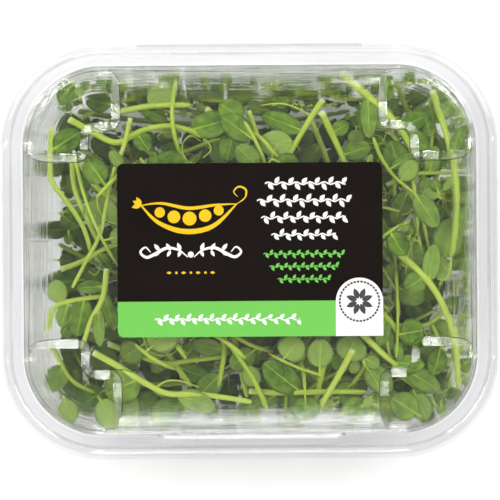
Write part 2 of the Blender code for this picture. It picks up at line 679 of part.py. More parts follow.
class Shoot:
    def __init__(self, name, pile, points, width, leaves, tendrils, wish, rng, step=STEM_STEP):
        self.name = name
        self.radius = width / 2
        self.route = spaced(points, step)
        wave = rng.uniform(0.3, 1.5) * MM
        phase = rng.uniform(0, 6.28)
        want = [wish(p) + wave * math.sin(phase + 1.1 * i) for i, p in enumerate(self.route)]
        self.z, self.short = settle(pile, self.route, self.radius, want)
        self.leaves = []
        self.dropped = 0
        for base, tip, leaf_width_here in leaves:
            near = min(range(len(self.route)), key=lambda i: (self.route[i] - base).length)
            root, z = self.on_stem(base, near)
            leaf = Leaf(root, z, base, tip, leaf_width_here, rng)
            leaf.tilt = rng.uniform(-0.12, 0.22)
            for _ in range(5):
                if leaf.clear(pile) <= 0:
                    break
                leaf.half *= 0.82
                leaf.length *= 0.88
                leaf.fold *= 0.6
                leaf.roll *= 0.5
                leaf.arch *= 0.4
                leaf.tilt = 0.0
            if leaf.clear(pile) <= 0:
                self.leaves.append(leaf)
            else:
                self.dropped += 1
        self.tendrils = []
        for line in tendrils:
            near = min(range(len(self.route)), key=lambda i: (self.route[i] - line[0]).length)
            root, z = self.on_stem(line[0], near)
            route = spaced([root, *line[1:]], STEM_STEP * 0.4)
            want = [z + 0.1 * (p - root).length for p in route]
            heights, short = settle(pile, route, TENDRIL_RADIUS, want, anchor=z)
            if short < 0.05 * MM:
                self.tendrils.append((route, heights))
            else:
                self.dropped += 1
        self.mark(pile)

    def on_stem(self, base, near):
        """Nearest point of the stem's own straight pieces, and its height."""
        best = None
        for i in (near - 1, near):
            if 0 <= i < len(self.route) - 1:
                a, b = self.route[i], self.route[i + 1]
                t = max(0.0, min(1.0, (base - a).dot(b - a) / (b - a).length_squared))
                p = a.lerp(b, t)
                if best is None or (p - base).length < best[0]:
                    best = ((p - base).length, p, self.z[i] * (1 - t) + self.z[i + 1] * t)
        return best[1], best[2]

    def mark(self, pile):
        top = pile.low.copy()
        lines = [(self.route, self.z, self.radius)]
        lines += [(route, z, TENDRIL_RADIUS) for route, z in self.tendrils]
        for route, z, radius in lines:
            for i in range(len(route) - 1):
                rows, cols, t, near = pile.strip(route[i], route[i + 1], radius + GAP)
                here = z[i] * (1 - t) + z[i + 1] * t + radius
                top[rows, cols] = np.where(near, np.maximum(top[rows, cols], here), top[rows, cols])
        for leaf in self.leaves:
            leaf.mark(pile, top)
        pile.low = top


def tube(route, radii, sides):
    """Closed round rod along a route."""
    verts, faces = [], []
    up = Vector((0.0, 0.0, 1.0))
    for i, p in enumerate(route):
        run = route[min(i + 1, len(route) - 1)] - route[max(i - 1, 0)]
        run.normalize()
        side = run.cross(up)
        side.normalize()
        over = side.cross(run)
        for k in range(sides):
            a = 2 * math.pi * (k + 0.25) / sides
            verts.append(p + (side * math.cos(a) + over * math.sin(a)) * radii[i])
    for i in range(len(route) - 1):
        for k in range(sides):
            m = (k + 1) % sides
            faces.append([i * sides + k, i * sides + m, (i + 1) * sides + m, (i + 1) * sides + k])
    last = (len(route) - 1) * sides
    faces.append(list(range(sides))[::-1])
    faces.append([last + k for k in range(sides)])
    return verts, faces


def blade(leaf):
    """Closed thin leaf body, folded along its middle."""
    rows = []
    for b, w in LEAF_STATIONS:
        s = leaf.stalk + (1 - leaf.stalk) * b
        half = w * leaf.half
        rows.append([(s, 0.0)] if w == 0.0 else [(s, -half), (s, 0.0), (s, half)])
    verts, faces, index = [], [], []
    for lift in (LEAF_THICK / 2, -LEAF_THICK / 2):
        layer = []
        for row in rows:
            layer.append([len(verts) + k for k in range(len(row))])
            verts += [leaf.point(s, w, lift) for s, w in row]
        index.append(layer)
    for layer, flip in ((index[0], False), (index[1], True)):
        for a, b in zip(layer, layer[1:]):
            if len(b) == 1:
                new = [[a[0], a[1], b[0]], [a[1], a[2], b[0]]]
            else:
                new = [[a[0], a[1], b[1]], [a[0], b[1], b[0]], [a[1], a[2], b[1]], [a[2], b[2], b[1]]]
            faces += [f[::-1] if flip else f for f in new]
    rims = []
    for layer in index:
        left = [row[0] for row in layer]
        right = [row[-1] for row in layer[:-1]]
        rims.append([layer[0][1], *left, *right[::-1]])
    count = len(rims[0])
    for i in range(count):
        j = (i + 1) % count
        faces.append([rims[0][i], rims[0][j], rims[1][j]])
        faces.append([rims[0][i], rims[1][j], rims[1][i]])
    return verts, faces


def make_shoot(shoot, mat):
    """Stem, leaves and tendrils of one shoot joined in one body."""
    line = [Vector((p.x, p.y, z)) for p, z in zip(shoot.route, shoot.z)]
    count = len(line)
    radii = [shoot.radius * (1.0 - 0.25 * i / count) for i in range(count)]
    verts, faces = tube(line, radii, STEM_SIDES)
    stem = solid(shoot.name, verts, faces)
    group = bpy.data.collections.new("parts")
    bpy.context.scene.collection.children.link(group)
    pieces = [blade(leaf) for leaf in shoot.leaves]
    for leaf in shoot.leaves:
        if leaf.stalk * leaf.length > shoot.radius * 0.2:
            ends = [leaf.point(0.0, 0.0), leaf.point(leaf.stalk + (1 - leaf.stalk) * 0.12, 0.0)]
            pieces.append(tube(ends, [PETIOLE_RADIUS] * 2, 4))
    for route, z in shoot.tendrils:
        line = [Vector((p.x, p.y, h)) for p, h in zip(route, z)]
        pieces.append(tube(line, [TENDRIL_RADIUS] * len(line), 4))
    for verts, faces in pieces:
        piece = solid("piece", verts, faces)
        bpy.context.scene.collection.objects.unlink(piece)
        group.objects.link(piece)
    if pieces:
        mod = stem.modifiers.new("join", "BOOLEAN")
        mod.operation = "UNION"
        mod.operand_type = "COLLECTION"
        mod.collection = group
        mod.solver = "EXACT"
        mod.use_self = True
        apply_modifiers(stem)
    for piece in list(group.objects):
        bpy.data.objects.remove(piece)
    bpy.data.collections.remove(group)
    return finish(stem, mat)


def filler(rng, pile):
    """A shoot thrown at random on the tub's floor: route, width and leaves."""
    hx, hy, _ = wall_half()
    room = 14 * MM  # kept between its cut end and the walls
    while True:
        at = Vector((rng.uniform(-1, 1) * (hx - room), rng.uniform(-1, 1) * (hy - room)))
        heading = rng.uniform(0, 6.28)
        bend = rng.uniform(-0.012, 0.012) / MM
        length = rng.uniform(80, 120) * MM
        points = [at]
        for _ in range(FILLER_PARTS):
            heading += bend * length / FILLER_PARTS
            points.append(points[-1] + Vector((math.cos(heading), math.sin(heading))) * length / FILLER_PARTS)
        if all(pile.ground(p) < FOOT_HEIGHT + 6 * MM for p in points):
            break
    leaves = []
    for k in (3, 5, 7):
        run = (points[k] - points[k - 1]).normalized()
        side = Vector((-run.y, run.x)) * rng.choice((-1, 1))
        way = (run * rng.uniform(0.2, 1.0) + side).normalized()
        base = points[k] + way * rng.uniform(1.5, 4.0) * MM
        leaves.append((base, base + way * rng.uniform(10, 15) * MM, rng.uniform(8, 11) * MM))
    return points, rng.uniform(2.0, 2.6) * MM, leaves


def lay_shoots():
    """All shoots, from the bottom of the tub up."""
    pile = Pile()
    shoots = []
    for i in range(FILLERS):
        rng = random.Random(SEED + i)
        points, width, leaves = filler(rng, pile)
        level = FOOT_HEIGHT + (FILLER_TOP - FOOT_HEIGHT) * (i + 0.5) / FILLERS
        shoots.append(Shoot(f"shoot_{i + 1:02d}", pile, points, width, leaves, [], lambda p: level, rng, FILLER_STEP))
    total = len(TOP_SHOOTS)
    for i, (route, width, leaves, tendrils) in enumerate(TOP_SHOOTS):
        rng = random.Random(f"{SEED} {route[0]}")
        points = [place(p) for p in route]
        blades = [(place(a), place(b), w * PX) for a, b, w in leaves]
        curls = [[place(p) for p in line] for line in tendrils]
        share = (i / (total - 1)) ** 0.75
        depth = DEEPEST + (NEAREST - DEEPEST) * share

        def wish(p):
            return pile.ceiling(p) - depth

        name = f"shoot_{FILLERS + i + 1:02d}"
        shoots.append(Shoot(name, pile, points, width * PX, blades, curls, wish, rng))
    return shoots


def build():
    for obj in list(bpy.data.objects):
        bpy.data.objects.remove(obj)
    clear = material("clear_plastic", (0.93, 0.95, 0.95), 0.08, 0.25)
    make_tub(clear)
    make_lid(clear)
    make_label(material("label_print", (0.02, 0.018, 0.016), 0.45))
    green = material("pea_green", (0.22, 0.42, 0.08), 0.5)
    for shoot in lay_shoots():
        make_shoot(shoot, green)
        if shoot.short > 0.05 * MM or shoot.dropped:
            print("note", shoot.name, "short by", round(shoot.short / MM, 2), "mm, left out", shoot.dropped)


build()
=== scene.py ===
"""Looks of the clear tray of cut pea shoots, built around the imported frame, in metres."""

import math
import random

import bmesh
import bpy
import numpy as np
from mathutils import Matrix, Vector


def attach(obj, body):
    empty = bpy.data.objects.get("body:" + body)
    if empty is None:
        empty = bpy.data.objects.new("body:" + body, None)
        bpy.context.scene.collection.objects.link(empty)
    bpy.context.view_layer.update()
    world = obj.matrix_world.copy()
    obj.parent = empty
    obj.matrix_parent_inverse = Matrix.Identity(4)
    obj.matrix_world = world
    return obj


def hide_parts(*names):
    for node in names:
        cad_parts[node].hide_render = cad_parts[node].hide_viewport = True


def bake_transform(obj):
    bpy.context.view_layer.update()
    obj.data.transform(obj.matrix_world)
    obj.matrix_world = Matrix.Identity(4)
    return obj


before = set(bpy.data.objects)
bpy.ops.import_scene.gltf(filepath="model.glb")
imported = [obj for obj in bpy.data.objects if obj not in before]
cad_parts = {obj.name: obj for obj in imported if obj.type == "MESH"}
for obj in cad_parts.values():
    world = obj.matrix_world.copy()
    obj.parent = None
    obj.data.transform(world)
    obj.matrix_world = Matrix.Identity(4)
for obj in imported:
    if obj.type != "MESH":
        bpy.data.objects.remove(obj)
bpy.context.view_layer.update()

MM = 0.001
SEED = 11
SHEET = 0.5 * MM  # wall of the formed plastic
GAP = 0.3 * MM  # air between pieces that touch

# Flange, seen from above
TUB_HALF_X = 93.5 * MM
LID_HALF_X = 93.2 * MM
LID_HALF_Y = 77.3 * MM
RIM_RADIUS = 37.7 * MM
FRONT_LEDGE = 1.4 * MM  # the tub's flange shows this far past the lid's at the front
FOOT_INSET = 7.6 * MM  # from the lid's outer edge to the foot of its wall
CORNER_STEPS = 26

# Heights
FOOT_HEIGHT = 4.0 * MM
TUB_HEIGHT = 38.0 * MM
LID_BASE = TUB_HEIGHT + GAP + SHEET  # top of the lid's flange
PANEL_RISE = 12.5 * MM
RECESS_RISE = 6.0 * MM

# Sections: inset from the wall's foot, height above the flange
LID_SECTION = [
    (0.0 * MM, 0.0 * MM),
    (1.9 * MM, 5.2 * MM),
    (3.0 * MM, 7.6 * MM),
    (4.9 * MM, 9.8 * MM),
    (8.2 * MM, 11.6 * MM),
    (13.4 * MM, PANEL_RISE),
]
# Edge of a lowered corner, as the section above
EDGE_SECTION = [
    (0.0 * MM, 0.0 * MM),
    (1.25 * MM, 3.4 * MM),
    (2.0 * MM, 4.7 * MM),
    (3.3 * MM, 5.6 * MM),
    (5.6 * MM, 6.1 * MM),
    (9.0 * MM, 6.3 * MM),
]
# Rim of the lid: distance in from the outer edge, height above the flange
LID_RIM = [
    (0.5 * MM, 0.0 * MM),
    (1.0 * MM, 1.2 * MM),
    (2.0 * MM, 1.3 * MM),
    (3.1 * MM, 0.9 * MM),
    (3.8 * MM, 0.0 * MM),
]
TUB_RIM = [(1.6 * MM, 0.0 * MM), (2.0 * MM, 0.9 * MM), (2.5 * MM, 0.9 * MM), (3.0 * MM, 0.0 * MM)]
# Tub wall: inset from the foot of the lid's wall, depth below the flange's top
TUB_SECTION = [
    (0.0 * MM, 0.0 * MM),
    (1.6 * MM, 8.0 * MM),
    (2.6 * MM, 8.7 * MM),
    (7.0 * MM, 29.0 * MM),
    (8.8 * MM, 32.6 * MM),
    (11.6 * MM, TUB_HEIGHT - FOOT_HEIGHT),
]

# Stair-stepped corners, half sizes from the middle of the tray
STEP_A = (49.6 * MM, 46.1 * MM)
STEP_B = (61.5 * MM, 34.5 * MM)
STEP_RADIUS = 3.4 * MM
RISER_IN = 1.9 * MM
RISER_OUT = 1.3 * MM
FOOT_CLEAR = 2.4 * MM
RISER_FOOT = 0.7 * MM
RISER_TOP = 1.1 * MM

# Small features of the lid
BULGE_HALF = 37.0 * MM
BULGE_OUT = 1.5 * MM
BULGE_RISE = 5.6 * MM
LUG_LENGTH = 21.0 * MM
LUG_DEPTH = 1.5 * MM
LUG_RISE = 0.5 * MM
LUG_INSET = 3.5 * MM
LUG_X = 40.3 * MM
LUG_Y = -24.5 * MM
HINGE_HALF = 43.0 * MM
HINGE_OUT = 0.7 * MM
WEB_ROOM = 0.6 * MM
TO_MIDDLE = (FRONT_LEDGE - HINGE_OUT) / 2  # moves the finished pieces so that the whole is centred
LABEL_SIZE = (99.2 * MM, 65.0 * MM)
LABEL_RADIUS = 2.4 * MM
FILM = 0.20 * MM
INK = 0.03 * MM  # height of one layer of print
CARD = 0.05 * MM  # height of the badge and of the band's print over the film

# Shoots
STEM_STEP = 11.0 * MM
FILLER_STEP = 15.0 * MM
BEND = 1.3 * MM  # how far one step of a route may rise or dip off the straight line
LEAF_THICK = 0.65 * MM  # room that a leaf is given
LEAF_FINE = 0.30 * MM  # a leaf as it is seen
PETIOLE_RADIUS = 0.55 * MM
TENDRIL_RADIUS = 0.42 * MM
CELL = 0.5 * MM
PX = 0.377 * MM  # one picture step on the real tray
MIDDLE = (250.0, 249.7)
FILLERS = 10
FILLER_TOP = 18.0 * MM
DEEPEST = 27.0 * MM  # depth under the lid of the first and of the last shoot that the picture shows
NEAREST = 2.6 * MM
TURN = 6.28  # upper limit of a random heading
SHORT = 0.05 * MM  # a stem or tendril that lacks more room than this is left out


def put(name, data):
    """Object in the scene that shows the given data."""
    obj = bpy.data.objects.new(name, data)
    bpy.context.scene.collection.objects.link(obj)
    return obj


def solid(name, verts, faces):
    """Mesh object whose faces all look out."""
    mesh = bpy.data.meshes.new(name)
    mesh.from_pydata([tuple(v) for v in verts], [], faces)
    obj = put(name, mesh)
    bm = bmesh.new()
    bm.from_mesh(mesh)
    bmesh.ops.recalc_face_normals(bm, faces=bm.faces)
    bm.to_mesh(mesh)
    bm.free()
    return obj


def arc(centre, radius, start, end, steps=4):
    points = []
    for i in range(steps + 1):
        a = math.radians(start + (end - start) * i / steps)
        points.append((centre[0] + radius * math.cos(a), centre[1] + radius * math.sin(a)))
    return points


def rounded(half_x, half_y, radius, steps, centre=(0.0, 0.0)):
    """Rounded rectangle, counter-clockwise."""
    points = []
    for sx, sy, start in ((1, 1, 0), (-1, 1, 90), (-1, -1, 180), (1, -1, 270)):
        middle = (centre[0] + sx * (half_x - radius), centre[1] + sy * (half_y - radius))
        points += arc(middle, radius, start, start + 90, steps)
    return points


def ring(half_x, half_y, radius, z, centre=(0.0, 0.0)):
    """Rounded rectangle at height z."""
    return [(x, y, z) for x, y in rounded(half_x, half_y, radius, CORNER_STEPS, centre)]


def turned(x, y, u, v, angle):
    """The point u ahead and v to the left of (x, y), where ahead is the angle."""
    return x + u * math.cos(angle) - v * math.sin(angle), y + u * math.sin(angle) + v * math.cos(angle)


def toward(angle):
    """Step of length one at an angle."""
    return Vector((math.cos(angle), math.sin(angle)))


def inset_of(x, y, half_x, half_y, radius):
    """How far in from the edge of a rounded rectangle points lie, and which lie nearer to its sides."""
    qx = np.abs(x) - (half_x - radius)
    qy = np.abs(y) - (half_y - radius)
    away = np.hypot(np.maximum(qx, 0), np.maximum(qy, 0)) + np.minimum(np.maximum(qx, qy), 0)
    return radius - away, qx > qy


def loft(name, loops):
    """Closed body through loops of equal length, with flat ends."""
    count = len(loops[0])
    verts = [p for loop in loops for p in loop]
    faces = [list(range(count))[::-1]]
    for k in range(len(loops) - 1):
        for i in range(count):
            j = (i + 1) % count
            faces.append([k * count + i, k * count + j, (k + 1) * count + j, (k + 1) * count + i])
    last = (len(loops) - 1) * count
    faces.append([last + i for i in range(count)])
    return solid(name, verts, faces)


def combine(target, tool, kind):
    """Joins the tool to the target, cuts it out or keeps what both share."""
    mod = target.modifiers.new("cut", "BOOLEAN")
    mod.operation = kind
    mod.object = tool
    mod.solver = "EXACT"
    apply_modifiers(target)
    bpy.data.objects.remove(tool)


def apply_modifiers(obj):
    graph = bpy.context.evaluated_depsgraph_get()
    mesh = bpy.data.meshes.new_from_object(obj.evaluated_get(graph))
    obj.modifiers.clear()
    obj.data = mesh


def smooth(section):
    """The section as a round line through its points."""
    line = spaced([Vector((s, z)) for s, z in section], 0.8 * MM)
    return [(p.x, p.y) for p in line]


def inner(section, thickness):
    """The section moved by the wall thickness toward the inside of the box."""
    moved = []
    for i, (s, z) in enumerate(section):
        before = section[max(i - 1, 0)]
        after = section[min(i + 1, len(section) - 1)]
        run = Vector((after[0] - before[0], after[1] - before[1])).normalized()
        if i == len(section) - 1:
            run = Vector((1.0, 0.0))
        moved.append((s + abs(run.y) * thickness, z - run.x * thickness))
    return moved


def stepped(grow, z, sx, sy, reach):
    """Footprint of one stair-stepped corner, grown toward the middle of the tray."""
    ax, ay = STEP_A[0] - grow, STEP_A[1] - grow
    bx, by = STEP_B[0] - grow, STEP_B[1] - grow
    out = STEP_RADIUS + grow
    into = STEP_RADIUS - grow
    points = [(reach, by)]
    points += arc((bx + out, by + out), out, 270, 180)
    points += arc((bx - into, ay - into), into, 0, 90)
    points += arc((ax + out, ay + out), out, 270, 180)
    points += [(ax, reach), (reach, reach)]
    loop = [(sx * x, sy * y, z) for x, y in points]
    return loop if sx * sy > 0 else loop[::-1]


def fillet(corner, start, end, radius, steps=6):
    """Arc that rounds a corner of a profile between two directions, in radians."""
    sign = math.copysign(1.0, end - start)
    cut = radius * math.tan(abs(end - start) / 2)
    first = (corner[0] - cut * math.cos(start), corner[1] - cut * math.sin(start))
    middle = (first[0] - sign * radius * math.sin(start), first[1] + sign * radius * math.cos(start))
    points = []
    for i in range(steps + 1):
        a = start + (end - start) * i / steps
        points.append((middle[0] + sign * radius * math.sin(a), middle[1] - sign * radius * math.cos(a)))
    return points


def corner_cutter(sx, sy, thickness):
    """Clears the lid above one lowered corner; thickness sets the inner skin's cutter off the outer one."""
    low = LID_BASE + RECESS_RISE - thickness
    rise = PANEL_RISE - RECESS_RISE
    slope = (RISER_IN + RISER_OUT) / rise
    reach = LID_HALF_X + 2 * MM
    grow = thickness * math.sqrt(1 + slope * slope)
    side = -RISER_IN + grow - slope * thickness
    steep = math.atan2(1.0, slope)
    shallow = math.radians(14)
    profile = fillet((side, low), 0.0, steep, RISER_FOOT + thickness)
    profile += fillet((side + slope * rise, low + rise), steep, shallow, RISER_TOP - thickness)
    out = 1.2 * MM
    profile.append((profile[-1][0] + out, profile[-1][1] + out * math.tan(shallow) + 2 * MM))
    loops = [stepped(g, z, sx, sy, reach) for g, z in profile]
    return loft("cutter", loops)


def edge_cutter(sx, sy, thickness):
    """Rounds the outer edge of one lowered corner where its floor meets the wall."""
    reach = LID_HALF_X + 2 * MM
    inset = RISER_IN + 0.3 * MM + thickness
    loops = [stepped(-inset, LID_BASE + z, sx, sy, reach) for z in (1.0 * MM, RECESS_RISE + 3 * MM)]
    block = loft("block", loops)
    section = smooth(EDGE_SECTION)
    if thickness:
        section = inner(section, thickness)
    core = dome("core", section, LID_BASE, 2 * MM)
    combine(block, core, "DIFFERENCE")
    return block


def wall_half():
    """Half sizes and corner radius of the rounded rectangle at the foot of the lid's wall."""
    return LID_HALF_X - FOOT_INSET, LID_HALF_Y - FOOT_INSET, RIM_RADIUS - FOOT_INSET


def dome(name, section, base, drop):
    """Body under a section swept round; it starts a drop below the base."""
    hx, hy, r = wall_half()
    loops = [ring(hx - section[0][0], hy - section[0][0], r - section[0][0], base - drop)]
    loops += [ring(hx - s, hy - s, r - s, base + z) for s, z in section[1:]]
    return loft(name, loops)


def bulge(thickness):
    """Swelling along the foot of the lid's front wall."""
    hy = wall_half()[1]
    width = BULGE_HALF - thickness
    depth = 12 * MM
    loops = []
    drop = SHEET * 0.6 if thickness == 0 else 3 * MM
    for z, out, narrow in ((-drop, BULGE_OUT, 0.0), (0.0, BULGE_OUT, 0.0), (BULGE_RISE, -3.0 * MM, 2.0 * MM)):
        front = -(hy + out - thickness)
        z_here = z if z <= 0 else z - thickness
        centre = (0.0, front + depth / 2)
        loops.append(ring(width - narrow, depth / 2, 4.5 * MM, LID_BASE + z_here, centre))
    return loft("bulge", loops)


def flange(name, top, rim, hollow, half_x, ledge):
    """Flat rim plate with its bead, its middle still closed; its edge may pass the lid's at the front."""
    inset = FOOT_INSET + 5 * MM
    upper = [(inset, 0.0), *reversed(rim), (0.0, 0.0)]
    lower = [(0.0, -SHEET)]
    if hollow:
        lower.append((rim[0][0] + 0.35 * MM, -SHEET))
        for s, z in rim[1:-1]:
            lower.append((s + 0.3 * MM * max(-1.0, min(1.0, (2.1 * MM - s) / (0.9 * MM))), z - SHEET))
        lower.append((rim[-1][0] - 0.3 * MM, -SHEET))
    lower.append((inset, -SHEET))
    loops = []
    for s, z in upper + lower:
        if s == 0.0:
            loops.append(ring(half_x, LID_HALF_Y + ledge / 2, RIM_RADIUS, top + z, (0.0, -ledge / 2)))
        else:
            loops.append(ring(LID_HALF_X - s, LID_HALF_Y - s, RIM_RADIUS - s, top + z))
    return loft(name, loops[::-1])


def lug(x, y, angle):
    """Half-lens bump against the inner side of the bead; angle turns its inward side."""
    half = LUG_LENGTH / 2
    radius = (half * half + LUG_DEPTH * LUG_DEPTH) / (2 * LUG_DEPTH)
    reach = math.asin(half / radius)
    back = -0.5 * MM
    edge = [(-half, back)]
    for i in range(25):
        a = -reach + 2 * reach * i / 24
        edge.append((radius * math.sin(a), radius * math.cos(a) - radius + LUG_DEPTH))
    edge.append((half, back))
    loops = []
    for z, shrink in ((-SHEET * 0.5, 1.0), (LUG_RISE * 0.6, 0.985), (LUG_RISE, 0.93)):
        loop = [turned(x, y, u * shrink, v * shrink, math.radians(angle)) for u, v in edge]
        loops.append([(*p, LID_BASE + z) for p in loop])
    return loft("lug", loops)


def slab(x0, x1, y0, y1, z0, z1):
    """Block between two corners."""
    loops = [[(x0, y0, z), (x1, y0, z), (x1, y1, z), (x0, y1, z)] for z in (z0, z1)]
    return loft("slab", loops)


def hinge_leaf(z0, z1):
    """Short flap at the back edge, which the bent web joins."""
    return slab(-HINGE_HALF, HINGE_HALF, LID_HALF_Y - 1.0 * MM, LID_HALF_Y + HINGE_OUT - WEB_ROOM, z0, z1)


def make_lid(mat):
    """Flange, wall, shoulder, panel, stepped corners, lugs and back flap as one thin sheet."""
    section = smooth(LID_SECTION)
    rim = [(p.x, p.y) for p in spaced([Vector(p) for p in LID_RIM], 0.35 * MM)]
    lid = flange("lid", LID_BASE, rim, True, LID_HALF_X, 0.0)
    outer = dome("outer", section, LID_BASE, SHEET * 0.6)
    combine(outer, bulge(0.0), "UNION")
    hollow = dome("hollow", inner(section, SHEET), LID_BASE, 3 * MM)
    combine(hollow, bulge(SHEET), "UNION")
    for sx in (-1, 1):
        for sy in (-1, 1):
            for cutter in (corner_cutter, edge_cutter):
                combine(outer, cutter(sx, sy, 0.0), "DIFFERENCE")
                combine(hollow, cutter(sx, sy, SHEET), "DIFFERENCE")
    combine(lid, outer, "UNION")
    combine(lid, hollow, "DIFFERENCE")
    side, back = LID_HALF_X - LUG_INSET, LID_HALF_Y - LUG_INSET
    for x, y, angle in ((-LUG_X, back, 180), (-LUG_X, -back, 0), (LUG_X, back, 180), (LUG_X, -back, 0),
                        (-side, LUG_Y, 270), (side, LUG_Y, 90)):
        combine(lid, lug(x, y, angle), "UNION")
    combine(lid, hinge_leaf(LID_BASE - SHEET * 0.9, LID_BASE - SHEET * 0.1), "UNION")
    return finish(lid, mat)


def make_tub(mat):
    """Flange, sloped wall, floor, corner feet and back flap as one thin sheet."""
    top = TUB_HEIGHT
    tub = flange("tray", top, TUB_RIM, False, TUB_HALF_X, FRONT_LEDGE)
    hx, hy, r = wall_half()
    skins = []
    for skin, first in ((0.0, SHEET * 0.4), (SHEET, -3 * MM)):
        loops = [ring(hx - skin, hy - skin, r - skin, top - first)]
        for s, z in TUB_SECTION[1:]:
            rise = skin if z > 30 * MM else 0.0
            loops.append(ring(hx - s - skin, hy - s - skin, r - s - skin, top - z + rise))
        skins.append(loft("skin", loops[::-1]))
    outside, inside = skins
    floor = FOOT_HEIGHT
    base_in = TUB_SECTION[-2][0]
    for sx in (-1, 1):
        for sy in (-1, 1):
            for body, skin in ((outside, 0.0), (inside, SHEET)):
                foot = loft("foot", [
                    stepped(-(FOOT_CLEAR + skin), skin, sx, sy, TUB_HALF_X),
                    stepped(-(FOOT_CLEAR + skin) + 1.0 * MM, floor + 1.5 * MM + skin, sx, sy, TUB_HALF_X),
                ])
                inset = base_in + 3.4 * MM + skin
                trim = loft("trim", [
                    ring(hx - inset, hy - inset, r - inset, -1 * MM),
                    ring(hx - inset + 1.5 * MM, hy - inset + 1.5 * MM, r - inset + 1.5 * MM, floor + 4 * MM),
                ])
                combine(foot, trim, "INTERSECT")
                combine(body, foot, "UNION")
    combine(tub, outside, "UNION")
    combine(tub, inside, "DIFFERENCE")
    combine(tub, hinge_leaf(top - SHEET * 0.9, top - SHEET * 0.1), "UNION")
    return finish(tub, mat)


def finish(obj, mat):
    """Centres the piece with the whole, merges stray points, makes triangles and shades it smooth."""
    bm = bmesh.new()
    bm.from_mesh(obj.data)
    bmesh.ops.translate(bm, verts=bm.verts, vec=(0.0, TO_MIDDLE, 0.0))
    bmesh.ops.remove_doubles(bm, verts=bm.verts, dist=0.00001)
    bmesh.ops.dissolve_limit(bm, angle_limit=math.radians(0.3), verts=bm.verts, edges=bm.edges)
    bmesh.ops.triangulate(bm, faces=bm.faces)
    bmesh.ops.recalc_face_normals(bm, faces=bm.faces)
    bm.to_mesh(obj.data)
    bm.free()
    obj.data.materials.clear()
    obj.data.materials.append(mat)
    obj.data.polygons.foreach_set("use_smooth", [True] * len(obj.data.polygons))
    obj.data.set_sharp_from_angle(angle=math.radians(35))
    return obj


# Shoots lie in layers: each is laid over a height map of what is already there

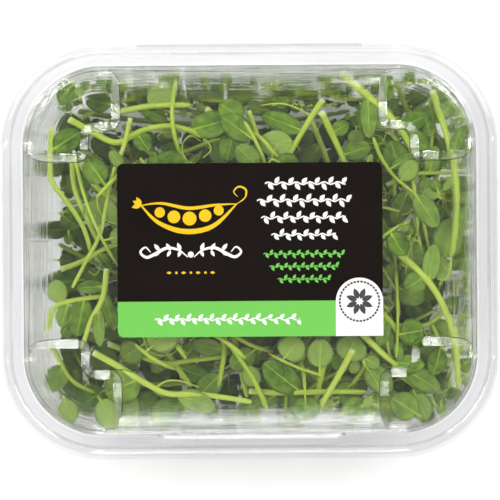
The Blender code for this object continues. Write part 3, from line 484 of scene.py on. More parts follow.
# Stem route, stem width, leaves as (base, tip, width), tendrils as routes; all in picture steps, lowest first
TOP_SHOOTS = [
    ([(196, 96), (225, 99), (250, 96), (276, 94)], 5,
     [((228, 98), (256, 86), 24), ((205, 97), (186, 84), 15)], []),
    ([(296, 94), (325, 92), (350, 99), (374, 96)], 5,
     [((322, 92), (284, 87), 20), ((338, 95), (352, 80), 14)], []),
    ([(80, 116), (98, 107), (118, 99), (135, 96)], 5,
     [((112, 101), (84, 96), 22), ((130, 98), (148, 86), 16)], []),
    ([(164, 160), (179, 154), (191, 149), (203, 143), (225, 139), (250, 146)], 5.5,
     [((191, 149), (161, 146), 11), ((214, 141), (226, 164), 20)], []),
    ([(312, 120), (321, 141), (327, 156), (334, 176), (344, 196)], 6, [((322, 144), (303, 168), 18)], []),
    ([(398, 80), (404, 95), (409, 110), (416, 128), (420, 150)], 6.5, [((406, 103), (430, 88), 18)], []),
    ([(396, 327), (408, 329), (421, 328), (440, 320), (452, 300), (456, 276)], 6,
     [((441, 319), (463, 300), 18)], []),
    ([(150, 322), (158, 338), (167, 354), (179, 371), (190, 386)], 7,
     [((176, 366), (210, 380), 20), ((168, 356), (150, 372), 16)], []),
    ([(107, 343), (124, 349), (141, 357), (164, 363), (181, 363), (201, 358), (222, 357)], 6,
     [((150, 360), (160, 341), 20), ((182, 362), (196, 342), 22), ((141, 356), (124, 341), 14)], []),
    ([(222, 322), (223, 340), (223, 356), (219, 376), (216, 391)], 6.5,
     [((222, 350), (190, 343), 18), ((219, 374), (196, 398), 24)], []),
    ([(232, 322), (234, 340), (238, 362), (246, 397)], 6.5,
     [((236, 348), (259, 364), 22), ((239, 370), (258, 386), 18)], []),
    ([(60, 268), (80, 261), (94, 254), (108, 246), (128, 240)], 6, [((98, 252), (112, 269), 11)],
     [[(94, 254), (100, 262), (97, 272), (91, 276), (88, 270)]]),
    ([(46, 338), (54, 352), (62, 368), (74, 384), (92, 392)], 5.5, [((60, 364), (50, 392), 24)], []),
    ([(394, 250), (398, 272), (396, 296), (399, 318)], 4,
     [((397, 288), (424, 303), 24), ((396, 262), (384, 288), 14)], []),
    ([(405, 186), (417, 202), (422, 221), (428, 243), (432, 266)], 4,
     [((409, 192), (393, 226), 22), ((422, 221), (444, 208), 22)],
     [[(417, 202), (410, 214), (402, 216)]]),
    ([(387, 186), (401, 177), (421, 175), (442, 174), (464, 174)], 4.5,
     [((403, 176), (391, 141), 29), ((430, 174), (437, 147), 18)],
     [[(421, 175), (414, 184), (418, 194), (410, 198)]]),
    ([(327, 326), (327, 340), (326, 355), (321, 375), (315, 400)], 7, [((319, 384), (310, 366), 9)], []),
    ([(248, 391), (286, 393), (316, 392), (344, 392), (365, 393)], 6.5, [((300, 391), (262, 362), 30)],
     []),
    ([(434, 370), (451, 363), (463, 348), (466, 326)], 6, [((440, 367), (416, 378), 20)], []),
    ([(81, 162), (89, 176), (97, 186), (107, 194), (126, 203)], 7, [((88, 173), (98, 153), 13)], []),
    ([(72, 158), (73, 179), (78, 195), (83, 207), (89, 222), (98, 240)], 6,
     [((90, 224), (106, 197), 28), ((76, 186), (90, 199), 11)], []),
    ([(118, 111), (136, 108), (155, 105), (173, 104), (190, 105)], 7,
     [((150, 105), (172, 86), 26), ((141, 107), (168, 119), 15)], []),
    ([(249, 111), (254, 124), (258, 138), (264, 156), (266, 176)], 6.5,
     [((253, 121), (246, 136), 13), ((261, 149), (241, 160), 20)], []),
    ([(48, 330), (49, 316), (55, 305), (64, 301), (75, 299), (90, 296), (104, 295)], 6,
     [((84, 297), (76, 336), 26), ((60, 302), (55, 278), 20), ((68, 300), (60, 326), 18)], []),
    ([(107, 268), (105, 285), (101, 303), (92, 318), (84, 331), (82, 346)], 6.5,
     [((100, 306), (100, 346), 13), ((103, 292), (115, 330), 15), ((104, 285), (76, 287), 14)], []),
    ([(324, 100), (313, 117), (301, 135), (292, 150), (286, 166), (276, 186)], 6.5,
     [((303, 131), (262, 115), 21), ((294, 146), (258, 143), 28)],
     [[(313, 117), (296, 108), (280, 104), (262, 106)]]),
    ([(322, 113), (330, 129), (336, 143), (343, 158), (351, 180)], 7.5,
     [((342, 156), (372, 147), 20), ((332, 134), (350, 124), 16)], []),
    ([(207, 109), (220, 117), (234, 126), (248, 131), (262, 139), (278, 158)], 6,
     [((236, 128), (227, 162), 24), ((226, 121), (246, 108), 16)],
     [[(234, 126), (240, 134), (238, 146)]]),
    ([(370, 302), (384, 317), (395, 329), (409, 345)], 7, [((385, 318), (378, 348), 16)], []),
    ([(352, 325), (367, 340), (381, 354), (396, 366), (410, 374)], 7,
     [((404, 371), (439, 392), 22), ((392, 363), (424, 366), 18)], []),
    ([(352, 350), (347, 364), (335, 380), (324, 395), (316, 411)], 7.5, [((347, 366), (355, 336), 33)],
     []),
    ([(53, 126), (51, 150), (51, 168), (56, 187), (68, 201), (78, 216), (88, 234), (92, 252)], 6,
     [((54, 150), (82, 130), 24)], []),
    ([(70, 118), (86, 127), (100, 135), (112, 143), (127, 139), (137, 133), (151, 128), (168, 126),
      (185, 127), (198, 133)], 7, [((190, 129), (234, 119), 27), ((138, 133), (150, 150), 18)],
     [[(185, 127), (204, 138), (212, 150), (204, 158)]]),
    ([(132, 118), (129, 137), (121, 155), (115, 170), (110, 190), (107, 206), (106, 222), (99, 237),
      (90, 254), (82, 270), (73, 286)], 5, [((108, 200), (120, 226), 14)], []),
    ([(342, 76), (356, 88), (375, 101), (387, 114), (396, 124), (408, 141), (416, 158)], 8,
     [((368, 98), (370, 146), 22), ((399, 128), (430, 117), 20), ((404, 136), (429, 150), 22)], []),
    ([(433, 92), (439, 110), (446, 132), (451, 152), (454, 170), (456, 190), (455, 213), (454, 236),
      (450, 258)], 7,
     [((441, 117), (456, 103), 17), ((452, 158), (462, 128), 12), ((455, 240), (466, 207), 14),
      ((454, 176), (443, 193), 8)],
     [[(450, 258), (448, 274), (441, 284), (436, 280)]]),
    ([(384, 243), (393, 251), (407, 262), (421, 276), (430, 286), (438, 299), (445, 314), (451, 331),
      (453, 345), (456, 361), (459, 377), (457, 388)], 7.5,
     [((429, 283), (433, 245), 19), ((423, 278), (404, 290), 24)], []),
    ([(93, 351), (106, 358), (124, 369), (142, 380), (155, 387), (171, 393), (204, 393), (231, 398),
      (250, 401)], 7, [((138, 378), (104, 394), 36), ((176, 393), (215, 408), 22)],
     [[(155, 387), (168, 379), (184, 381), (198, 386)]]),
]


def place(point):
    """Picture position on the tray, in metres from its middle."""
    return Vector(((point[0] - MIDDLE[0]) * PX, (MIDDLE[1] - point[1]) * PX))


def widen(top, under, rows, cols, cells, middle, thick):
    """Raises the map of tops and lowers the map of undersides where something lies."""
    upper, lower = top[rows, cols], under[rows, cols]
    upper[cells] = np.maximum(upper[cells], middle + thick)
    lower[cells] = np.minimum(lower[cells], middle - thick)


class Pile:
    """Height map of what is already laid in the tub, and of the lid above it."""

    def __init__(self):
        hx, hy, r = wall_half()
        nx = int(2 * hx / CELL) + 8
        ny = int(2 * hy / CELL) + 8
        self.x = (np.arange(nx) - (nx - 1) / 2) * CELL
        self.y = (np.arange(ny) - (ny - 1) / 2) * CELL
        gx, gy = np.meshgrid(self.x, self.y)
        inset, _ = inset_of(gx, gy, hx, hy, r)
        tub = [(s + 1.6 * SHEET, TUB_HEIGHT - z + SHEET) for s, z in TUB_SECTION]
        self.low = np.interp(inset, [p[0] for p in tub], [p[1] for p in tub], left=1.0)
        lid = [(s + SHEET + GAP, LID_BASE + z - SHEET - GAP) for s, z in LID_SECTION]
        self.high = np.interp(inset, [p[0] for p in lid], [p[1] for p in lid], left=-1.0)
        edge = RISER_OUT + SHEET + 2 * GAP
        for ax, ay in (STEP_A, STEP_B):
            corner = (np.abs(gx) > ax - edge) & (np.abs(gy) > ay - edge)
            roof = LID_BASE + RECESS_RISE - SHEET - GAP
            self.high = np.where(corner, np.minimum(self.high, roof), self.high)
        self.bare = self.low.copy()
        self.under = self.high.copy()

    def cell(self, point):
        """Row and column of a point, kept inside the map."""
        i = int(round((point[0] - self.x[0]) / CELL))
        j = int(round((point[1] - self.y[0]) / CELL))
        return min(max(j, 0), len(self.y) - 1), min(max(i, 0), len(self.x) - 1)

    def ground(self, point):
        """Height of the empty tub at a point."""
        return float(self.bare[self.cell(point)])

    def ceiling(self, point):
        """Height of the lid's underside at a point."""
        return float(self.high[self.cell(point)])

    def level(self, point):
        """Height of the pile at a point."""
        return float(self.low[self.cell(point)])

    def window(self, points, margin):
        """Part of the map about the points: its rows, columns and places."""
        xs = [p[0] for p in points]
        ys = [p[1] for p in points]
        i0 = max(int((min(xs) - margin - self.x[0]) / CELL), 0)
        i1 = min(int((max(xs) + margin - self.x[0]) / CELL) + 2, len(self.x))
        j0 = max(int((min(ys) - margin - self.y[0]) / CELL), 0)
        j1 = min(int((max(ys) + margin - self.y[0]) / CELL) + 2, len(self.y))
        gx, gy = np.meshgrid(self.x[i0:i1], self.y[j0:j1])
        return slice(j0, j1), slice(i0, i1), gx, gy

    def strip(self, a, b, width):
        """Cells within width of the line from a to b, and how far along it each is."""
        rows, cols, gx, gy = self.window((a, b), width)
        run = Vector((b[0] - a[0], b[1] - a[1]))
        length = max(run.length, 1e-9)
        t = ((gx - a[0]) * run.x + (gy - a[1]) * run.y) / (length * length)
        t = np.clip(t, 0.0, 1.0)
        away = np.hypot(gx - a[0] - t * run.x, gy - a[1] - t * run.y)
        return rows, cols, t, away < width


def spaced(points, step):
    """Smooth route through points, resampled at about the given step."""
    curve = []
    for i in range(len(points) - 1):
        p0 = points[max(i - 1, 0)]
        p1, p2 = points[i], points[i + 1]
        p3 = points[min(i + 2, len(points) - 1)]
        for k in range(12):
            t = k / 12
            curve.append(0.5 * ((2 * p1) + (p2 - p0) * t + (2 * p0 - 5 * p1 + 4 * p2 - p3) * t ** 2
                                + (3 * p1 - p0 - 3 * p2 + p3) * t ** 3))
    curve.append(points[-1])
    lengths = [0.0]
    for i in range(1, len(curve)):
        lengths.append(lengths[-1] + (curve[i] - curve[i - 1]).length)
    count = max(2, round(lengths[-1] / step))
    result = []
    j = 0
    for k in range(count + 1):
        want = lengths[-1] * k / count
        while j < len(curve) - 2 and lengths[j + 1] < want:
            j += 1
        share = (want - lengths[j]) / max(lengths[j + 1] - lengths[j], 1e-9)
        result.append(curve[j].lerp(curve[j + 1], min(max(share, 0.0), 1.0)))
    return result


def settle(pile, route, radius, wish, anchor=None):
    """Heights along a route that clear what lies below and stay under the lid."""
    z = list(wish)
    strips = []
    for a, b in zip(route, route[1:]):
        rows, cols, t, near = pile.strip(a, b, radius + GAP)
        low = pile.low[rows, cols][near] + radius + GAP
        strips.append((t[near], low, pile.high[rows, cols][near] - radius))
    first = 1 if anchor is not None else 0
    for _ in range(60):
        for i in range(1, len(z) - 1):
            bend = z[i] - (z[i - 1] + z[i + 1]) / 2
            move = math.copysign(max(abs(bend) - BEND, 0.0), bend)
            z[i] -= move * 0.5
            z[i + 1] += move * 0.25
            if i - 1 >= first:
                z[i - 1] += move * 0.25
        for limit_side in (-1, 1):
            for i, (t, low, high) in enumerate(strips):
                here = z[i] * (1 - t) + z[i + 1] * t
                gap = low - here if limit_side > 0 else here - high
                if not len(gap):
                    continue
                worst = int(np.argmax(gap))
                if gap[worst] <= 0:
                    continue
                s = float(t[worst])
                share = float(gap[worst]) / ((1 - s) ** 2 + s ** 2)
                if i >= first:
                    z[i] += limit_side * share * (1 - s)
                z[i + 1] += limit_side * share * s
                if i < first:
                    z[i + 1] += limit_side * float(gap[worst]) * (1 - s)
    short = 0.0
    for i, (t, low, high) in enumerate(strips):
        here = z[i] * (1 - t) + z[i + 1] * t
        if len(here):
            short = max(short, float(np.max(low - here)), float(np.max(here - high)))
    return z, short


LEAF_STATIONS = [(0.0, 0.12), (0.2, 0.8), (0.5, 1.0), (0.8, 0.66), (1.0, 0.0)]


def leaf_width(s):
    """Half width of a leaflet along its length, as the room it is given, as a share of the widest."""
    return np.interp(s, [p[0] for p in LEAF_STATIONS], [p[1] for p in LEAF_STATIONS])


class Leaf:
    """A leaflet on its stalk: a straight run from the stem to the tip, folded along the middle."""

    def __init__(self, root, z, base, tip, width, rng):
        self.root = root
        self.z = z
        run = tip - root
        self.length = run.length
        self.along = run / self.length
        self.across = Vector((-self.along.y, self.along.x))
        self.stalk = min(max((base - root).length / self.length, 0.0), 0.5)
        self.half = width / 2
        self.fold = rng.uniform(0.05, 0.3)
        self.roll = rng.uniform(-0.35, 0.35)
        self.arch = rng.uniform(-0.16, 0.05) * self.length
        self.tilt = 0.0

    def blade(self, s):
        return np.clip((s - self.stalk) / (1 - self.stalk), 0.0, 1.0)

    def shape(self, s, w):
        """Height over the straight run; w is the signed distance from the middle line."""
        b = self.blade(s)
        return self.fold * abs(w) + self.roll * w * b + self.arch * (b * b - 0.2 * b)

    def cells(self, pile):
        """Cells of the map under the leaf, and how far along and across it they lie."""
        tip = self.root + self.along * self.length
        rows, cols, gx, gy = pile.window((self.root, tip), self.half + GAP)
        dx, dy = gx - self.root.x, gy - self.root.y
        s = (dx * self.along.x + dy * self.along.y) / self.length
        w = dx * self.across.x + dy * self.across.y
        reach = GAP / self.length
        b = (s - self.stalk) / (1 - self.stalk)
        limit = np.where(b > 0, leaf_width(b) * self.half, 0.0)
        limit = np.maximum(limit, PETIOLE_RADIUS) + GAP
        inside = (s > -reach) & (s < 1 + reach) & (np.abs(w) < limit)
        return rows, cols, np.clip(s, 0, 1)[inside], w[inside], inside

    def clear(self, pile):
        """Sets the tilt that clears the pile and the lid; returns how far it falls short."""
        rows, cols, s, w, inside = self.cells(pile)
        thick = np.where(self.blade(s) > 0.05, LEAF_THICK / 2, PETIOLE_RADIUS)
        body = self.z + self.shape(s, w)
        run = np.maximum(s, 0.05) * self.length
        far = s > 0.12
        if not far.any():
            return 1.0
        low = (pile.low[rows, cols][inside] + GAP + thick - body) / run
        high = (pile.high[rows, cols][inside] - thick - body) / run
        least = float(np.max(low[far]))
        most = float(np.min(high[far]))
        self.tilt = min(max(self.tilt, least), most) if least <= most else least
        return max(least - most, abs(self.tilt) - 1.1, 0.0)

    def height(self, s, w):
        return self.z + self.shape(s, w) + self.tilt * s * self.length

    def point(self, s, w, lift=0.0):
        p = self.root + self.along * (s * self.length) + self.across * w
        return Vector((p.x, p.y, float(self.height(s, w)) + lift))

    def mark(self, pile, top, under):
        """Adds the leaf to the maps."""
        rows, cols, s, w, inside = self.cells(pile)
        thick = np.where(self.blade(s) > 0.05, LEAF_THICK / 2, PETIOLE_RADIUS)
        widen(top, under, rows, cols, inside, self.height(s, w), thick)


class Shoot:
    """A stem on its route with the leaves and tendrils that found room."""

    def __init__(self, name, pile, points, width, leaves, tendrils, wish, rng, step=STEM_STEP, strict=False):
        self.name = name
        self.radius = width / 2
        self.route = spaced(points, step)
        wave = rng.uniform(0.3, 1.5) * MM
        phase = rng.uniform(0, TURN)
        want = [wish(p) + wave * math.sin(phase + 1.1 * i) for i, p in enumerate(self.route)]
        self.z, lacking = settle(pile, self.route, self.radius, want)
        self.leaves = []
        for base, tip, leaf_width_here in leaves:
            root, z = self.on_stem(base)
            leaf = Leaf(root, z, base, tip, leaf_width_here, rng)
            leaf.tilt = rng.uniform(-0.12, 0.22)
            for _ in range(5):
                if leaf.clear(pile) <= 0:
                    break
                leaf.half *= 0.82
                leaf.length *= 0.88
                leaf.fold *= 0.6
                leaf.roll *= 0.5
                leaf.arch *= 0.4
                leaf.tilt = 0.0
            if leaf.clear(pile) <= 0:
                self.leaves.append(leaf)
        self.tendrils = []
        for line in tendrils:
            root, z = self.on_stem(line[0])
            route = spaced([root, *line[1:]], STEM_STEP * 0.4)
            want = [z + 0.1 * (p - root).length for p in route]
            heights, short = settle(pile, route, TENDRIL_RADIUS, want, anchor=z)
            if short < SHORT:
                self.tendrils.append((route, heights))
        self.fits = lacking < SHORT and bool(self.leaves or self.tendrils)
        if self.fits or not strict:
            self.mark(pile)

    def on_stem(self, base):
        """Nearest point of the stem's own straight pieces, and its height."""
        near = min(range(len(self.route)), key=lambda i: (self.route[i] - base).length)
        best = None
        for i in (near - 1, near):
            if 0 <= i < len(self.route) - 1:
                a, b = self.route[i], self.route[i + 1]
                t = max(0.0, min(1.0, (base - a).dot(b - a) / (b - a).length_squared))
                p = a.lerp(b, t)
                if best is None or (p - base).length < best[0]:
                    best = ((p - base).length, p, self.z[i] * (1 - t) + self.z[i + 1] * t)
        return best[1], best[2]

    def mark(self, pile):
        """Adds the shoot to the pile."""
        top = pile.low.copy()
        under = pile.under.copy()
        lines = [(self.route, self.z, self.radius)]
        lines += [(route, z, TENDRIL_RADIUS) for route, z in self.tendrils]
        for route, z, radius in lines:
            for i in range(len(route) - 1):
                rows, cols, t, near = pile.strip(route[i], route[i + 1], radius + GAP)
                here = (z[i] * (1 - t) + z[i + 1] * t)[near]
                widen(top, under, rows, cols, near, here, radius)
        for leaf in self.leaves:
            leaf.mark(pile, top, under)
        pile.low = top
        pile.under = under


def filler(rng, pile):
    """A shoot thrown at random on the tub's floor: route, width and leaves."""
    hx, hy, _ = wall_half()
    room = 14 * MM
    while True:
        at = Vector((rng.uniform(-1, 1) * (hx - room), rng.uniform(-1, 1) * (hy - room)))
        heading = rng.uniform(0, TURN)
        bend = rng.uniform(-0.012, 0.012) / MM
        length = rng.uniform(80, 120) * MM
        points = [at]
        for _ in range(8):
            heading += bend * length / 8
            points.append(points[-1] + toward(heading) * length / 8)
        if all(pile.ground(p) < FOOT_HEIGHT + 6 * MM for p in points):
            break
    leaves = []
    for k in (3, 5, 7):
        run = (points[k] - points[k - 1]).normalized()
        side = Vector((-run.y, run.x)) * rng.choice((-1, 1))
        way = (run * rng.uniform(0.2, 1.0) + side).normalized()
        base = points[k] + way * rng.uniform(1.5, 4.0) * MM
        leaves.append((base, base + way * rng.uniform(10, 15) * MM, rng.uniform(8, 11) * MM))
    return points, rng.uniform(2.0, 2.6) * MM, leaves


def lay_shoots():
    """All shoots, from the bottom of the tub up."""
    pile = Pile()
    shoots = []
    for i in range(FILLERS):
        rng = random.Random(SEED + i)
        points, width, leaves = filler(rng, pile)
        level = FOOT_HEIGHT + (FILLER_TOP - FOOT_HEIGHT) * (i + 0.5) / FILLERS
        name = f"shoot_{i + 1:02d}"
        shoots.append(Shoot(name, pile, points, width, leaves, [], lambda p: level, rng, FILLER_STEP))
    total = len(TOP_SHOOTS)
    for i, (route, width, leaves, tendrils) in enumerate(TOP_SHOOTS):
        rng = random.Random(f"{SEED} {route[0]}")
        points = [place(p) for p in route]
        blades = [(place(a), place(b), w * PX) for a, b, w in leaves]
        curls = [[place(p) for p in line] for line in tendrils]
        share = (i / (total - 1)) ** 0.75
        depth = DEEPEST + (NEAREST - DEEPEST) * share

        def wish(p):
            return pile.ceiling(p) - depth

        name = f"shoot_{FILLERS + i + 1:02d}"
        shoots.append(Shoot(name, pile, points, width * PX, blades, curls, wish, rng))
    return shoots, pile


# Looks

FIELD = (-70.5 * MM, 83 * MM, -61 * MM, 64 * MM)  # left, right, front and back limits of the loose greens
PRINT_STEP = 0.004 * MM  # crossing prints differ by this in height
CLOSE = 0.004 * MM  # outline points nearer than this are one
LABEL_MIDDLE = (250.75, 249.6)
STAGE_HALF = 2.0
CAMERA_HEIGHT = 1.60
CAMERA_Y = 0.24 * MM
FRAME_WIDTH = 0.1885
SENSOR = 36.0
WORLD_MATT, WORLD_GLOSS = 0.34, 0.13  # strength of the sky on matt surfaces and in gloss
# Soft boxes: name, size, place, target, radiance, if gloss mirrors it, if it lights matt surfaces
LAMPS = [
    ("card", (1.9, 1.9), (-0.55, -0.55, 1.95), (-0.55, -0.55, 0.0), 0.34, True, True),
    ("left", (0.45, 0.45), (-1.0, 0.55, 1.25), (0.0, 0.0, 0.0), 14.2, True, True),
    ("right", (0.45, 0.45), (1.0, 0.55, 1.25), (0.0, 0.0, 0.0), 12.2, True, True),
    ("top", (2.2, 2.2), (0.1, -0.3, 1.8), (0.0, 0.0, 0.0), 1.46, False, True),
    ("front_veil", (0.4, 1.1), (0.0, -1.0, 0.55), (0.0, 0.0, 0.1), 7.5, True, False),
]
LOW_SPRIGS, LOW_TRIES = 160, 2400
TOP_SPRIGS, TOP_TRIES = 45, 2600
LEAF_TRIES = 2600
WALL_LIMIT = 30 * MM  # no leaf is laid for a gap where the tub's wall is higher than this
ROLL = math.radians(-0.4)


class Nodes:
    """Adds shader nodes to a tree; each method gives the new node's output."""

    def __init__(self, tree):
        self.tree = tree

    def add(self, kind, inputs=None, **settings):
        node = self.tree.nodes.new(kind)
        for key, value in settings.items():
            setattr(node, key, value)
        for key, value in (inputs or {}).items():
            if isinstance(value, bpy.types.NodeSocket):
                self.tree.links.new(value, node.inputs[key])
            else:
                node.inputs[key].default_value = value
        return node.outputs

    def maths(self, operation, a, b=0.0, clamp=False):
        return self.add("ShaderNodeMath", {0: a, 1: b}, operation=operation, use_clamp=clamp)[0]

    def times(self, a, b):
        return self.maths("MULTIPLY", a, b)

    def most(self, a, b):
        return self.maths("MAXIMUM", a, b)

    def spread(self, value, low, high, to_low=0.0, to_high=1.0):
        return self.add("ShaderNodeMapRange", {0: value, 1: low, 2: high, 3: to_low, 4: to_high})[0]

    def blend(self, factor, a, b):
        a, b = (v if isinstance(v, bpy.types.NodeSocket) else (*v, 1.0) for v in (a, b))
        return self.add("ShaderNodeMix", {0: factor, 6: a, 7: b}, data_type="RGBA")[2]

    def stored(self, name):
        return self.add("ShaderNodeAttribute", attribute_name=name)["Fac"]

    def vector(self, *parts):
        return self.add("ShaderNodeCombineXYZ", dict(enumerate(parts)))[0]

    def noise(self, at, scale, detail):
        return self.add("ShaderNodeTexNoise", {"Vector": at, "Scale": scale, "Detail": detail})[0]

    def cloud(self, scale, detail):
        return self.noise(self.add("ShaderNodeTexCoord")["Object"], scale, detail)

    def bump(self, strength, distance, height, **more):
        inputs = {"Strength": strength, "Distance": distance, "Height": height, **more}
        return self.add("ShaderNodeBump", inputs)[0]

    def plastic(self, colour, roughness, gloss, **more):
        inputs = {"Base Color": colour, "Roughness": roughness, "Specular IOR Level": gloss, **more}
        return self.add("ShaderNodeBsdfPrincipled", inputs)[0]

    def mix(self, factor, a, b):
        return self.add("ShaderNodeMixShader", {0: factor, 1: a, 2: b})[0]

    def close(self, shader):
        self.add("ShaderNodeOutputMaterial", {"Surface": shader})


def blank(name):
    """New material and the writer of its nodes."""
    mat = bpy.data.materials.new(name)
    mat.use_nodes = True
    mat.node_tree.nodes.clear()
    return mat, Nodes(mat.node_tree)


def clear_sheet():
    """Formed clear plastic: gloss over a sheet that bends what lies behind it, with drawn streaks."""
    mat, n = blank("clear_sheet")
    inset = n.stored("inset")
    streaks = n.noise(n.vector(n.times(inset, 1100.0), n.times(n.stored("around"), 26.0)), 1.0, 3.0)
    outer = n.spread(inset, 5.0 * MM, 8.5 * MM, 0.15, 1.0)
    on_wall = n.times(outer, n.spread(inset, 17.0 * MM, 22.0 * MM, 1.0, 0.03))
    slow = n.bump(0.25, 0.0004, n.cloud(38.0, 2.0))
    fine = n.bump(0.8, 0.0005, n.times(streaks, on_wall), Normal=slow)
    facing = n.add("ShaderNodeLayerWeight", {"Blend": 0.5, "Normal": fine})["Facing"]
    glance = n.spread(n.maths("POWER", facing, 2.3), 0.0, 1.0, 0.018, 0.8)
    ray = n.add("ShaderNodeLightPath")
    rim = n.spread(inset, 6.9 * MM, 7.3 * MM, 1.0, 0.0)
    lamp = n.most(n.most(ray["Is Shadow Ray"], ray["Is Diffuse Ray"]), rim)
    straight = n.most(lamp, n.times(n.add("ShaderNodeNewGeometry")["Backfacing"], 0.35))
    flat_tint = n.blend(rim, (0.985, 0.985, 0.985), (0.957, 0.955, 0.965))
    tint = n.blend(n.maths("POWER", facing, 1.6), flat_tint, (0.74, 0.76, 0.69))
    open_air = n.add("ShaderNodeBsdfTransparent", {"Color": tint})[0]
    bend = {"Color": tint, "Roughness": 0.0, "IOR": 1.22, "Normal": fine}
    bent = n.add("ShaderNodeBsdfRefraction", bend)[0]
    shine = n.add("ShaderNodeBsdfAnisotropic", {"Color": (1, 1, 1, 1), "Roughness": 0.06, "Normal": fine})[0]
    sheet = n.mix(glance, n.mix(straight, bent, open_air), shine)
    milk = n.add("ShaderNodeBsdfDiffuse", {"Color": (0.95, 0.95, 0.96, 1.0)})[0]
    n.close(n.mix(n.times(n.spread(streaks, 0.45, 0.8, 0.005, 0.05), on_wall), sheet, milk))
    return mat


def leaf_paint():
    """Leaf: midrib and side veins, mottled green, paler below, and painted shade that darkens it deeper in
    the pile.
    """
    mat, n = blank("pea_leaf")
    cloud = n.cloud(300.0, 6.0)
    side = n.maths("ABSOLUTE", n.stored("across"))
    rib = n.spread(side, 0.02, 0.09, 1.0, 0.0)
    slant = n.maths("SUBTRACT", n.times(n.stored("along"), 9.0), n.times(side, 2.6))
    wobble = n.maths("ADD", slant, n.times(cloud, 0.5))
    ridge = n.maths("ABSOLUTE", n.maths("SUBTRACT", n.maths("FRACT", wobble), 0.5))
    vein = n.times(n.spread(ridge, 0.01, 0.07, 1.0, 0.0), n.spread(side, 0.95, 0.5, 0.0, 0.6))
    veins = n.maths("MAXIMUM", rib, vein, True)
    colour = n.blend(n.spread(cloud, 0.3, 0.7), (0.03, 0.10, 0.005), (0.195, 0.34, 0.03))
    # the last share is painted shade: leaves deeper in the pile are darkened toward near black
    for share, other in ((n.times(n.stored("tone"), 0.9), (0.34, 0.49, 0.115)),
                         (n.times(n.stored("under"), 0.45), (0.27, 0.40, 0.10)),
                         (n.times(veins, 0.55), (0.42, 0.60, 0.08)),
                         (n.times(n.stored("pile_shade"), 0.9), (0.006, 0.026, 0.001))):
        colour = n.blend(share, colour, other)
    height = n.maths("SUBTRACT", n.times(cloud, 0.35), n.times(veins, 0.6))
    skin = n.plastic(colour, 0.5, 0.012, Normal=n.bump(0.75, 0.0004, height))
    n.close(n.mix(0.12, skin, n.add("ShaderNodeBsdfTranslucent", {"Color": colour})[0]))
    return mat


def stem_paint():
    """Stem and tendril: pale yellow-green with fine lengthwise ribs, a pale cut end and painted shade deeper
    in the pile.
    """
    mat, n = blank("pea_stem")
    tone = n.stored("tone")
    rib_at = n.vector(n.times(n.stored("along"), 90.0), n.times(n.stored("across"), 16.0), tone)
    ribs = n.noise(rib_at, 1.0, 3.0)
    colour = n.blend(n.spread(ribs, 0.3, 0.7), (0.28, 0.43, 0.02), (0.47, 0.60, 0.07))
    # the last share is painted shade: stems deeper in the pile are darkened
    for share, other in ((n.times(tone, 0.6), (0.53, 0.65, 0.13)),
                         (n.spread(n.cloud(55.0, 2.0), 0.5, 0.75, 0.0, 0.45), (0.19, 0.32, 0.015)),
                         (n.stored("cut"), (0.74, 0.80, 0.42)),
                         (n.times(n.stored("pile_shade"), 0.8), (0.03, 0.07, 0.002))):
        colour = n.blend(share, colour, other)
    n.close(n.plastic(colour, 0.36, 0.045, Normal=n.bump(0.5, 0.0002, ribs)))
    return mat


def print_paint(name, colour, fleck, roughness=0.4, gloss=0.04):
    """Printed film: flat ink with a fine grain."""
    mat, n = blank(name)
    grain = n.cloud(2600.0, 3.0)
    mixed = n.maths("ADD", n.times(grain, 0.7), n.times(n.cloud(60.0, 2.0), 0.3))
    ink = n.blend(n.spread(mixed, 0.35, 0.65), colour, fleck)
    n.close(n.plastic(ink, roughness, gloss, Normal=n.bump(0.12, 0.0001, grain)))
    return mat


# Fine meshes

